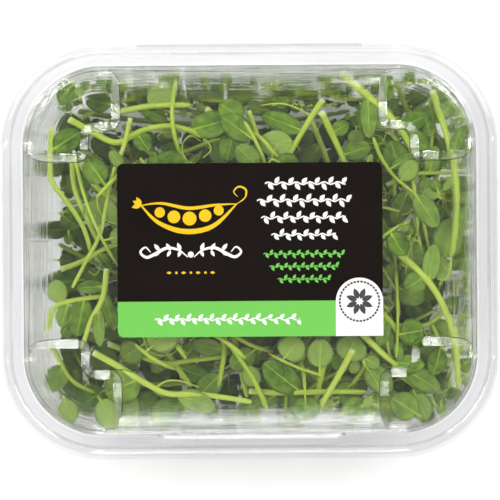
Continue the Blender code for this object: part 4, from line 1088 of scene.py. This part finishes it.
class Body:
    """Collects the shells of one piece with what their paint reads at each point."""

    def __init__(self):
        self.verts, self.faces, self.paint = [], [], []
        self.marks = {key: [] for key in ("along", "across", "tone", "under", "cut", "pile_shade")}

    def point(self, p, along=0.0, across=0.0, tone=0.0, under=0.0, cut=0.0):
        self.verts.append(p)
        # painted shade: points lower in the pile get a mark that the leaf and stem paints darken by
        height = (p.z - FOOT_HEIGHT) / (LID_BASE + PANEL_RISE - FOOT_HEIGHT)
        pile_shade = 1.0 - max(0.0, min(1.0, 1.2 * height))
        for layer, value in zip(self.marks.values(), (along, across, tone, under, cut, pile_shade)):
            layer.append(value)
        return len(self.verts) - 1

    def face(self, corners, paint):
        self.faces.append(corners)
        self.paint.append(paint)

    def rod(self, line, radii, sides, tone, rib=0.0, cut=False):
        """Closed round rod; its ends are rounded, or cut flat at the start."""
        up = Vector((0.0, 0.0, 1.0))
        loops = []
        run_length = 0.0
        before = line[0]
        for i, p in enumerate(line):
            run_length += (p - before).length
            before = p
            run = line[min(i + 1, len(line) - 1)] - line[max(i - 1, 0)]
            run.normalize()
            side = run.cross(up)
            side.normalize()
            over = side.cross(run)
            loop = []
            for k in range(sides):
                a = 2 * math.pi * k / sides
                r = radii[i] * (1 - rib * (0.5 - 0.5 * math.cos(4 * a)))
                pale = 0.75 if cut and i == 0 else 0.0
                loop.append(self.point(p + (side * math.cos(a) + over * math.sin(a)) * r,
                                       run_length, k / sides, tone, 0.0, pale))
            loops.append(loop)
        for a, b in zip(loops, loops[1:]):
            for k in range(sides):
                m = (k + 1) % sides
                self.face([a[k], a[m], b[m], b[k]], 1)
        root = (line[0] - line[1]).normalized()
        start = self.point(line[0] + root * radii[0] * 0.1, 0.0, 0.5, tone, 0.0, 1.0 if cut else 0.0)
        tip = (line[-1] - line[-2]).normalized()
        end = self.point(line[-1] + tip * radii[-1] * 0.5, run_length, 0.5, tone)
        for k in range(sides):
            m = (k + 1) % sides
            self.face([loops[0][m], loops[0][k], start], 1)
            self.face([loops[-1][k], loops[-1][m], end], 1)

    def leaf(self, leaf, rng, rows=13, cols=8):
        """Closed thin leaf with a soft fold and slight waves at the edge."""
        tone = rng.random() ** 1.6
        wave = rng.uniform(0.05, 0.16) * MM
        count = rng.uniform(2.0, 3.5)
        phase = rng.uniform(0, TURN)
        thick = LEAF_FINE
        soft = 0.12 * leaf.half
        grid = []
        for j in range(rows + 1):
            b = j / rows
            s = leaf.stalk + (1 - leaf.stalk) * b
            half = leaf.half * outline(b)
            row = []
            for k in range(cols + 1):
                t = 2 * k / cols - 1
                w = t * half
                fold = leaf.fold * (math.sqrt(w * w + soft * soft) - soft - abs(w))
                ripple = wave * t * t * math.sin(phase + count * TURN * b + (1.6 if t > 0 else 0.0))
                middle = leaf.point(s, w, fold + ripple)
                body = thick * 0.5 * math.sqrt(max(1 - t * t, 0.0)) * min(1.0, 6 * b, 6 * (1 - b))
                row.append((middle, body, b, t))
            grid.append(row)
        top, low = [], []
        for j, row in enumerate(grid):
            upper, lower = [], []
            for k, (middle, body, b, t) in enumerate(row):
                if j in (0, rows):
                    if k == 0:
                        shared = self.point(row[cols // 2][0], b, 0.0, tone, 0.5)
                    upper.append(shared)
                    lower.append(shared)
                elif k in (0, cols):
                    shared = self.point(middle, b, t, tone, 0.5)
                    upper.append(shared)
                    lower.append(shared)
                else:
                    lift = Vector((0.0, 0.0, body))
                    upper.append(self.point(middle + lift, b, t, tone, 0.0))
                    lower.append(self.point(middle - lift, b, t, tone, 1.0))
            top.append(upper)
            low.append(lower)
        for layer, flip in ((top, False), (low, True)):
            for a, b in zip(layer, layer[1:]):
                for k in range(cols):
                    corners = [a[k], a[k + 1], b[k + 1], b[k]]
                    corners = [c for i, c in enumerate(corners) if c not in corners[:i]]
                    if len(corners) > 2:
                        self.face(corners[::-1] if flip else corners, 0)

    def make(self, name, paints):
        """The piece as an object, with its marks stored for the paint."""
        mesh = bpy.data.meshes.new(name)
        mesh.from_pydata([tuple(v) for v in self.verts], [], self.faces)
        for key, values in self.marks.items():
            layer = mesh.attributes.new(key, "FLOAT", "POINT")
            layer.data.foreach_set("value", values)
        for paint in paints:
            mesh.materials.append(paint)
        mesh.polygons.foreach_set("material_index", self.paint)
        mesh.polygons.foreach_set("use_smooth", [True] * len(self.faces))
        mesh.transform(Matrix.Translation((0.0, TO_MIDDLE, 0.0)))
        return put(name, mesh)


def outline(b):
    """Half width of a leaflet along its length, as a share of the widest."""
    b = b ** 0.9
    return max(1 - (2 * b - 1) ** 2, 0.0) ** 0.66


def add_leaf(body, leaf, rng, tone, fine):
    """A leaflet with its stalk."""
    foot = leaf.point(0.0, 0.0)
    neck = leaf.point(leaf.stalk + (1 - leaf.stalk) * 0.05, 0.0, -0.05 * MM)
    mid = leaf.point(leaf.stalk + (1 - leaf.stalk) * 0.55, 0.0, -0.12 * MM)
    petiole = spaced([foot, foot.lerp(neck, 0.5), neck, mid], 1.2 * MM)
    share = [PETIOLE_RADIUS * 0.9 * (1 - 0.75 * i / len(petiole)) for i in range(len(petiole))]
    body.rod(petiole, share, 7, tone)
    if fine:
        body.leaf(leaf, rng)
    else:
        body.leaf(leaf, rng, 9, 6)


def grow(body, shoot, rng, fine=True):
    """Adds one shoot's stem, leaves and tendrils to a body."""
    tone = rng.random()
    ends = [Vector((p.x, p.y, z)) for p, z in zip(shoot.route, shoot.z)]
    line = spaced(ends, (2.0 if fine else 3.5) * MM)
    count = len(line)
    radii = [shoot.radius * 0.96 * (1.0 - 0.25 * i / count) for i in range(count)]
    radii[-1] *= 0.72
    if not fine:
        radii[0] *= 0.6
    body.rod(line, radii, 12 if fine else 8, tone, 0.07, fine)
    for leaf in shoot.leaves:
        add_leaf(body, leaf, rng, tone * 0.6, fine)
    for route, z in shoot.tendrils:
        points = spaced([Vector((p.x, p.y, h)) for p, h in zip(route, z)], 1.0 * MM)
        share = [TENDRIL_RADIUS * (0.95 - 0.45 * i / len(points)) for i in range(len(points))]
        body.rod(points, [r if fine else r * 0.6 for r in share], 7, 0.2 + 0.5 * tone)


def settle_in(obj, body, slot, *nodes):
    """Fixes a piece to its body, in place of the nodes named; slot is not used."""
    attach(obj, body)
    if nodes:
        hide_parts(*nodes)


def in_field(p):
    """True inside the part of the tray that the greens fill; they keep off the left, back and front walls."""
    return FIELD[0] < p[0] < FIELD[1] and FIELD[2] < p[1] < FIELD[3]


def sprig(rng, pile, name, floor_layer):
    """A small loose sprig for a gap, or None where there is no room for it."""
    hx, hy, _ = wall_half()
    at = Vector((rng.uniform(-1, 1) * (hx - 5 * MM), rng.uniform(-1, 1) * (hy - 5 * MM)))
    room = pile.ceiling(at) - pile.level(at)
    if room < (5.0 if floor_layer else 13.0) * MM:
        return None
    heading = rng.uniform(0, TURN)
    bend = rng.uniform(-0.03, 0.03) / MM
    length = rng.uniform(14, 46) * MM
    points = [at]
    for _ in range(4):
        heading += bend * length / 4
        points.append(points[-1] + toward(heading) * length / 4)
    least = (3 if floor_layer else 9) * MM
    if not all(pile.ceiling(p) > pile.level(p) + least and in_field(p) for p in points):
        return None
    leaves = []
    for _ in range(rng.choice((1, 2, 3, 3))):
        knot = points[rng.randrange(1, 5)]
        way = toward(heading + rng.uniform(-1.9, 1.9))
        base = knot + way * rng.uniform(0.6, 3.0) * MM
        leaves.append((base, base + way * rng.uniform(9, 16) * MM, rng.uniform(8, 13) * MM))
    tuft = rng.random() < 0.3
    if tuft:
        leaves = leaves[:1]
    tendrils = []
    for _ in range(rng.randrange(2, 5) if tuft else rng.randrange(0, 2)):
        turn = heading + rng.uniform(-0.9, 0.9)
        twist = rng.choice((-1, 1)) * rng.uniform(0.05, 0.35)
        line = [points[-1]]
        for k in range(7):
            turn += twist * (0.5 + 0.28 * k)
            line.append(line[-1] + toward(turn) * 2.4 * MM)
        tendrils.append(line)
    depth = rng.uniform(3.0, 14.0) * MM

    def wish(p):
        return pile.level(p) + 1.5 * MM + depth * (0.5 if floor_layer else 0.15)

    width = rng.uniform(1.3, 2.1) * MM
    made = Shoot(name, pile, points, width, leaves, tendrils, wish, rng, 7 * MM, True)
    return made if made.fits else None


def loose_leaf(rng, pile, spot, rise):
    """A leaf that lies level across a spot between the pile and what is over it, or None where none fits."""
    for long in (16, 13, 10.5, 8.5, 7, 5.5, 4.4, 3.4):
        for _ in range(4 if long > 5 else 8):
            way = toward(rng.uniform(0, TURN))
            reach = long * rng.uniform(0.92, 1.08) * MM
            root = spot - way * reach * rng.uniform(0.4, 0.65)
            wide = reach * (rng.uniform(0.62, 0.85) if long > 5 else rng.uniform(0.35, 0.6))
            leaf = Leaf(root, 0.0, root + way * 1.4 * MM, root + way * reach, wide, rng)
            rows, cols, s, w, inside = leaf.cells(pile)
            if not inside.any():
                continue
            body = leaf.shape(s, w)
            thick = LEAF_THICK / 2 + GAP
            least = float(np.max(pile.low[rows, cols][inside] + thick - body))
            most = float(np.min(pile.high[rows, cols][inside] - thick - body))
            if least < most:
                leaf.z = least + (most - least) * rng.uniform(0.0, rise)
                top, under = pile.low.copy(), pile.under.copy()
                leaf.mark(pile, top, under)
                pile.low, pile.under = top, under
                return leaf
    return None


def garland(x0, x1, y, height, rng):
    """Outlines of a vine: a waving stroke and leaves on both sides."""
    shapes = []
    steps = max(6, int((x1 - x0) / (height * 0.22)))
    upper, lower = [], []
    for i in range(steps + 1):
        x = x0 + (x1 - x0) * i / steps
        mid = y + 0.10 * height * math.sin(i * 1.35)
        upper.append((x, mid + 0.06 * height))
        lower.append((x, mid - 0.06 * height))
    shapes.append(lower + upper[::-1])
    leaf_step = height * 0.50
    count = max(3, int((x1 - x0) / leaf_step))
    for i in range(count):
        x = x0 + (x1 - x0) * (i + 0.5) / count
        way = 1 if i % 2 else -1
        lean = math.radians(52 + rng.uniform(-7, 7)) * way
        shapes.append(petal(x, y, height * rng.uniform(0.56, 0.66), height * 0.34, lean))
    return shapes


def petal(x, y, length, width, angle, steps=7):
    """Pointed oval from (x, y)."""
    points = []
    for side in (1, -1):
        for i in range(steps + (side > 0)):
            t = i / steps if side > 0 else 1 - i / steps
            w = side * 0.5 * width * math.sin(math.pi * t ** 0.85) ** 0.9
            points.append(turned(x, y, t * length, w, angle))
    return [p for i, p in enumerate(points) if math.dist(p, points[i - 1]) > CLOSE]


def disc(x, y, radius, steps=28):
    """Circle about (x, y)."""
    return [(x + radius * math.cos(2 * math.pi * i / steps), y + radius * math.sin(2 * math.pi * i / steps))
            for i in range(steps)]


def stroke(points, width):
    """Flat ribbon along points, thin at both ends."""
    line = spaced([Vector(p) for p in points], 0.5 * MM)
    left, right = [], []
    for i, p in enumerate(line):
        run = (line[min(i + 1, len(line) - 1)] - line[max(i - 1, 0)]).normalized()
        half = 0.5 * width * (0.25 + 0.75 * math.sin(math.pi * i / (len(line) - 1)))
        left.append((p.x - run.y * half, p.y + run.x * half))
        right.append((p.x + run.y * half, p.y - run.x * half))
    return left + right[::-1]


def plates(name, shapes, z0, z1, paint):
    """Thin flat prints of the given outlines; crossing outlines differ a little in height."""
    verts, faces = [], []
    for k, shape in enumerate(shapes):
        top = z1 + PRINT_STEP * (k % 5)
        area = sum(a[0] * b[1] - b[0] * a[1] for a, b in zip(shape, shape[1:] + shape[:1]))
        loop = shape if area > 0 else shape[::-1]
        first, count = len(verts), len(loop)
        verts += [(x, y, z0) for x, y in loop] + [(x, y, top) for x, y in loop]
        faces.append([first + i for i in range(count)][::-1])
        faces.append([first + count + i for i in range(count)])
        for i in range(count):
            j = (i + 1) % count
            faces.append([first + i, first + j, first + count + j, first + count + i])
    mesh = bpy.data.meshes.new(name)
    mesh.from_pydata(verts, [], faces)
    mesh.transform(Matrix.Translation((0.0, TO_MIDDLE, 0.0)))
    mesh.materials.append(paint)
    return put(name, mesh)


def label_at(x, y):
    """Picture position on the label, in metres from the label's middle."""
    return (x - LABEL_MIDDLE[0]) * PX, (LABEL_MIDDLE[1] - y) * PX


def band_outline():
    """The coloured strip across the foot of the label."""
    half_x, half_y = LABEL_SIZE[0] / 2, LABEL_SIZE[1] / 2
    top = label_at(0, 300.5)[1]
    points = [(-half_x, top)]
    for side, start in ((-1, 180), (1, 270)):
        middle = (side * (half_x - LABEL_RADIUS), -half_y + LABEL_RADIUS)
        points += arc(middle, LABEL_RADIUS, start, start + 90, 6)
    points.append((half_x, top))
    return points


def vine(x0, x1, y, tall, rng):
    """Garland between two picture columns."""
    (left, level), (right, _) = label_at(x0, y), label_at(x1, y)
    return garland(left, right, level, tall * PX, rng)


def pea_pod():
    """Open pod with its peas, its calyx and a curl at the tip."""
    shapes = []
    for points, width in ((((143, 205), (160, 222), (186, 231), (214, 226), (238, 204)), 5.2),
                          (((143, 205), (163, 203), (190, 208), (217, 205), (238, 204)), 3.4)):
        shapes.append(stroke([label_at(x, y) for x, y in points], width * PX))
    for x, y, r in ((161.5, 212, 5.2), (175.5, 216.5, 6.3), (191, 218.3, 6.9), (206.5, 215.5, 6.2),
                    (220, 210.5, 5.0)):
        shapes.append(disc(*label_at(x, y), r * PX))
    for angle in (118, 150, 190):
        shapes.append(petal(*label_at(143, 205), 9.5 * PX, 4.6 * PX, math.radians(angle)))
    curl = ((238, 204), (246, 198), (247, 190), (240, 187), (235, 192), (239, 197))
    shapes.append(stroke([label_at(x, y) for x, y in curl], 2.0 * PX))
    return shapes


def sprays():
    """Two curling sprays that mirror each other, with a dot between them."""
    shapes = []
    curve = ((3, 6), (12, -1), (24, -3), (36, 3), (44, 6), (50, 1), (45, -4), (40, 1))
    for mirror in (-1, 1):
        line = [label_at(192 + mirror * dx, 250.5 + dy) for dx, dy in curve]
        shapes.append(stroke(line, 3.2 * PX))
        for k, lean in ((10, 68), (20, 60), (31, 52)):
            x, y = label_at(192 + mirror * k, 250)
            angle = math.radians(lean if mirror > 0 else 180 - lean)
            shapes.append(petal(x, y, 8.5 * PX, 4.0 * PX, angle))
            shapes.append(petal(x, y, 7.0 * PX, 3.4 * PX, -angle))
    shapes.append(disc(*label_at(192, 254), 3.0 * PX))
    return shapes


def make_label_pieces():
    """Film, band, prints and badge of the label."""
    rng = random.Random(SEED)
    z0 = LID_BASE + PANEL_RISE + GAP
    film = z0 + FILM
    black = print_paint("ink_black", (0.006, 0.004, 0.003), (0.012, 0.008, 0.006), 0.45, 0.03)
    green_ink = print_paint("ink_green", (0.155, 0.52, 0.085), (0.175, 0.55, 0.10))
    white_ink = print_paint("ink_white", (0.82, 0.82, 0.81), (0.88, 0.88, 0.87))
    yellow_ink = print_paint("ink_yellow", (0.78, 0.49, 0.012), (0.82, 0.53, 0.02))
    grey_ink = print_paint("ink_grey", (0.05, 0.055, 0.05), (0.07, 0.075, 0.07))

    white, green, yellow = [], [], pea_pod()
    for y, x0, x1, tall in ((184, 266, 346, 13), (201, 258, 350, 13), (218, 262, 346, 12.5),
                            (235, 272, 336, 11.5)):
        white += vine(x0, x1, y, tall, rng)
    for y, x0, x1 in ((254, 264, 344), (266.5, 270, 338), (279, 278, 330)):
        green += vine(x0, x1, y, 8.5, rng)
    band_print = vine(156, 300, 318.5, 11.5, rng)
    white += sprays()
    for k in range(-3, 4):
        x, y = label_at(192 + 7.2 * k, 272)
        dash = petal(x - 2.4 * PX, y, 4.8 * PX, 2.6 * PX, 0.0)
        yellow.append(dash if k % 2 else disc(x, y, 1.3 * PX, 12))

    cx, cy = label_at(359, 301.5)
    r = 23.5 * PX
    foot = -LABEL_SIZE[1] / 2
    badge = [(cx + r, foot)] + arc((cx, cy), r, 0, 180, 28) + [(cx - r, foot)]
    dashes = []
    for k in range(36):
        a0, a1 = 2 * math.pi * k / 36, 2 * math.pi * (k + 0.72) / 36
        corners = [(20.6, a0), (20.6, a1), (18.6, a1), (18.6, a0)]
        dashes.append([(cx + q * PX * math.cos(a), cy + q * PX * math.sin(a)) for q, a in corners])
    rosette = [petal(cx + 2.6 * PX * math.cos(a), cy + 2.6 * PX * math.sin(a), 11.5 * PX, 5.6 * PX, a)
               for a in (math.radians(45 * k + 22.5) for k in range(8))]

    sheet = rounded(LABEL_SIZE[0] / 2, LABEL_SIZE[1] / 2, LABEL_RADIUS, 6)
    for name, shapes, low, high, ink in (
            ("label_film", [sheet], z0, film, black),
            ("label_band", [band_outline()], film, film + INK, green_ink),
            ("label_print_white", white, film, film + INK, white_ink),
            ("label_print_green", green, film, film + INK, green_ink),
            ("label_print_yellow", yellow, film, film + INK, yellow_ink),
            ("label_print_band", band_print, film + INK, film + CARD, white_ink),
            ("label_badge", [badge], film, film + CARD, white_ink),
            ("label_badge_ring", dashes, film + CARD, film + CARD + INK, grey_ink),
            ("label_badge_rosette", rosette, film + CARD, film + CARD + INK, grey_ink)):
        settle_in(plates(name, shapes, low, high, ink), "lid_body", "label_print", "label")


def sheet_marks(obj):
    """Stores how far in from the edge each point lies, and how far round."""
    mesh = obj.data
    count = len(mesh.vertices)
    co = np.empty(count * 3, np.float32)
    mesh.vertices.foreach_get("co", co)
    co = co.reshape(count, 3)
    x, y = co[:, 0], co[:, 1] - TO_MIDDLE
    inset, beside = inset_of(x, y, LID_HALF_X, LID_HALF_Y, RIM_RADIUS)
    for name, values in (("inset", inset), ("around", np.where(beside, y, x))):
        layer = mesh.attributes.new(name, "FLOAT", "POINT")
        layer.data.foreach_set("value", values.astype(np.float32))


def make_web(mat):
    """Bent strip of sheet that joins the tray's back flap to the lid's."""
    low = TUB_HEIGHT - SHEET / 2
    high = LID_BASE - SHEET / 2
    middle = (low + high) / 2
    bend = (high - low) / 2
    y0 = LID_HALF_Y + HINGE_OUT - bend - SHEET / 2
    path = [(y0 - 0.6 * MM, low)]
    path += [(y0 + bend * math.cos(a), middle + bend * math.sin(a))
             for a in (math.radians(-90 + 15 * i) for i in range(13))]
    path.append((y0 - 0.6 * MM, high))
    columns = 44
    half = HINGE_HALF - 0.4 * MM
    verts, faces = [], []
    for c in range(columns + 1):
        x = -half + 2 * half * c / columns
        for side in (1, -1):
            for i, (y, z) in enumerate(path):
                before, after = path[max(i - 1, 0)], path[min(i + 1, len(path) - 1)]
                run = Vector((after[0] - before[0], after[1] - before[1])).normalized()
                lift = side * SHEET * 0.22
                verts.append((x, y + run.y * lift, z - run.x * lift))
    n = len(path)
    for c in range(columns):
        a, b = 2 * n * c, 2 * n * (c + 1)
        for i in range(n - 1):
            faces.append([a + i, b + i, b + i + 1, a + i + 1])
            faces.append([a + n + i, a + n + i + 1, b + n + i + 1, b + n + i])
        faces.append([a, a + n, b + n, b])
        faces.append([a + n - 1, b + n - 1, b + 2 * n - 1, a + 2 * n - 1])
    for start in (0, 2 * n * columns):
        for i in range(n - 1):
            corners = [start + i, start + i + 1, start + n + i + 1, start + n + i]
            faces.append(corners if start == 0 else corners[::-1])
    web = solid("hinge_web", verts, faces)
    finish(web, mat)
    sheet_marks(web)
    return web, middle, y0 + TO_MIDDLE


def smooth_faces(obj):
    """Shades flat parts flat where they meet round ones."""
    mod = obj.modifiers.new("even", "WEIGHTED_NORMAL")
    mod.keep_sharp = True
    mod.weight = 90


def area_light(name, size, location, target, radiance, shows, lights):
    """Soft box; shows says if gloss mirrors it, lights if it lights matt surfaces."""
    data = bpy.data.lights.new(name, "AREA")
    data.shape = "RECTANGLE"
    data.size, data.size_y = size
    data.energy = radiance * math.pi * size[0] * size[1]
    obj = put(name, data)
    obj.location = location
    aim = Vector(target) - Vector(location)
    obj.rotation_euler = aim.to_track_quat("-Z", "Y").to_euler()
    obj.visible_glossy = shows
    obj.visible_diffuse = lights


def make_stage():
    """White paper floor."""
    mesh = bpy.data.meshes.new("floor")
    bm = bmesh.new()
    bmesh.ops.create_grid(bm, x_segments=8, y_segments=8, size=STAGE_HALF)
    bm.to_mesh(mesh)
    bm.free()
    mat, n = blank("floor_paper")
    n.close(n.plastic(n.blend(n.cloud(400.0, 3.0), (0.95, 0.95, 0.95), (0.97, 0.97, 0.97)), 0.9, 0.1))
    mesh.materials.append(mat)
    put("floor", mesh)


def make_light():
    """Sky, soft boxes and the narrow lamps that draw bright lines on the sheet's steps."""
    world = bpy.data.worlds.new("studio")
    bpy.context.scene.world = world
    world.use_nodes = True
    back = world.node_tree.nodes["Background"]
    back.inputs["Color"].default_value = (1.0, 1.0, 1.0, 1.0)
    n = Nodes(world.node_tree)
    strength = n.spread(n.add("ShaderNodeLightPath")["Is Glossy Ray"], 0.0, 1.0, WORLD_MATT, WORLD_GLOSS)
    world.node_tree.links.new(strength, back.inputs["Strength"])
    for lamp in LAMPS:
        area_light(*lamp)
    for side in (-1, 1):
        area_light("back_gleam", (0.5, 0.5), (side * 0.7, 0.75, 0.75), (0.0, 0.0, 0.03), 42.0, True, False)
        for end, radiance in ((1, 150.0), (-1, 60.0)):
            for at, target in (((side * 0.8, end * 0.088, 0.45), (0.0, end * 0.088, 0.03)),
                               ((side * 0.110, end * 0.8, 0.45), (side * 0.110, 0.0, 0.03))):
                area_light("riser_gleam", (0.02, 0.5), at, target, radiance, True, False)


def make_camera():
    """Camera straight above the tray."""
    data = bpy.data.cameras.new("camera")
    data.sensor_width = SENSOR
    data.lens = SENSOR * CAMERA_HEIGHT / FRAME_WIDTH
    data.clip_start = 0.01
    data.clip_end = 10.0
    camera = put("camera", data)
    camera.location = (0.0, CAMERA_Y, LID_BASE + CAMERA_HEIGHT)
    camera.rotation_euler = (0.0, 0.0, ROLL)
    bpy.context.scene.camera = camera


def make_greens():
    """Fine shoots, then small sprigs between and on them, then leaves where the floor still shows."""
    paints = (leaf_paint(), stem_paint())
    shoots, pile = lay_shoots()
    for i, shoot in enumerate(shoots):
        body = Body()
        grow(body, shoot, random.Random(SEED * 100 + i))
        name = shoot.name
        settle_in(body.make(f"{name}_fine", paints), "tray_body", "pea_green", name)
    rng = random.Random(SEED + 500)
    lower = Pile()
    lower.high = np.minimum(lower.high, pile.under - GAP)
    floor_bodies = [Body() for _ in range(5)]
    top_bodies = [Body() for _ in range(3)]
    scatter(rng, lower, floor_bodies, True, LOW_SPRIGS, LOW_TRIES)
    pile.low = np.maximum(pile.low, lower.low)
    scatter(rng, pile, top_bodies, False, TOP_SPRIGS, TOP_TRIES)
    lower.high = np.minimum(lower.high, pile.under - GAP)
    made = 0
    gx, gy = np.meshgrid(lower.x, lower.y)
    field = (gx > FIELD[0]) & (gx < FIELD[1]) & (gy > FIELD[2]) & (gy < FIELD[3]) & (lower.bare < WALL_LIMIT)
    missed = np.zeros(field.shape, dtype=bool)
    for _ in range(LEAF_TRIES):
        gap = (lower.low <= lower.bare) & (pile.low <= pile.bare + 0.1 * MM) & field & ~missed
        rows, cols = np.nonzero(gap)
        if not len(rows):
            break
        pick = rng.randrange(len(rows))
        spot = Vector((float(lower.x[cols[pick]]), float(lower.y[rows[pick]])))
        leaf = loose_leaf(rng, lower, spot, 0.3)
        if leaf is None:
            missed[rows[pick], cols[pick]] = True
            continue
        add_leaf(floor_bodies[made % 5], leaf, rng, rng.random() * 0.5, False)
        made += 1
    for group, bodies in (("low", floor_bodies), ("top", top_bodies)):
        for j, body in enumerate(bodies):
            settle_in(body.make(f"sprigs_{group}_{j + 1}", paints), "tray_body", "pea_green")


def scatter(rng, pile, bodies, floor_layer, wanted, tries):
    """Lays loose sprigs on a pile until enough of them fit."""
    made = 0
    for k in range(tries):
        one = sprig(rng, pile, f"sprig_{k}", floor_layer)
        if one is None:
            continue
        grow(bodies[made % len(bodies)], one, rng, False)
        made += 1
        if made == wanted:
            break


def make_container():
    """Tray, lid and the bent web of sheet between them."""
    clear = clear_sheet()
    tub = make_tub(clear)
    tub.name = "tray_sheet"
    lid = make_lid(clear)
    lid.name = "lid_sheet"
    for obj in (tub, lid):
        sheet_marks(obj)
        smooth_faces(obj)
    settle_in(tub, "tray_body", "clear_plastic", "tray")
    settle_in(lid, "lid_body", "clear_plastic", "lid")
    web, z, y = make_web(clear)
    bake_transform(web)


make_stage()
make_light()
make_camera()
make_container()
make_label_pieces()
make_greens()
scene = bpy.context.scene
scene.view_settings.view_transform = "Standard"
scene.view_settings.look = "None"
scene.cycles.transparent_max_bounces = 32
scene.cycles.max_bounces = 10
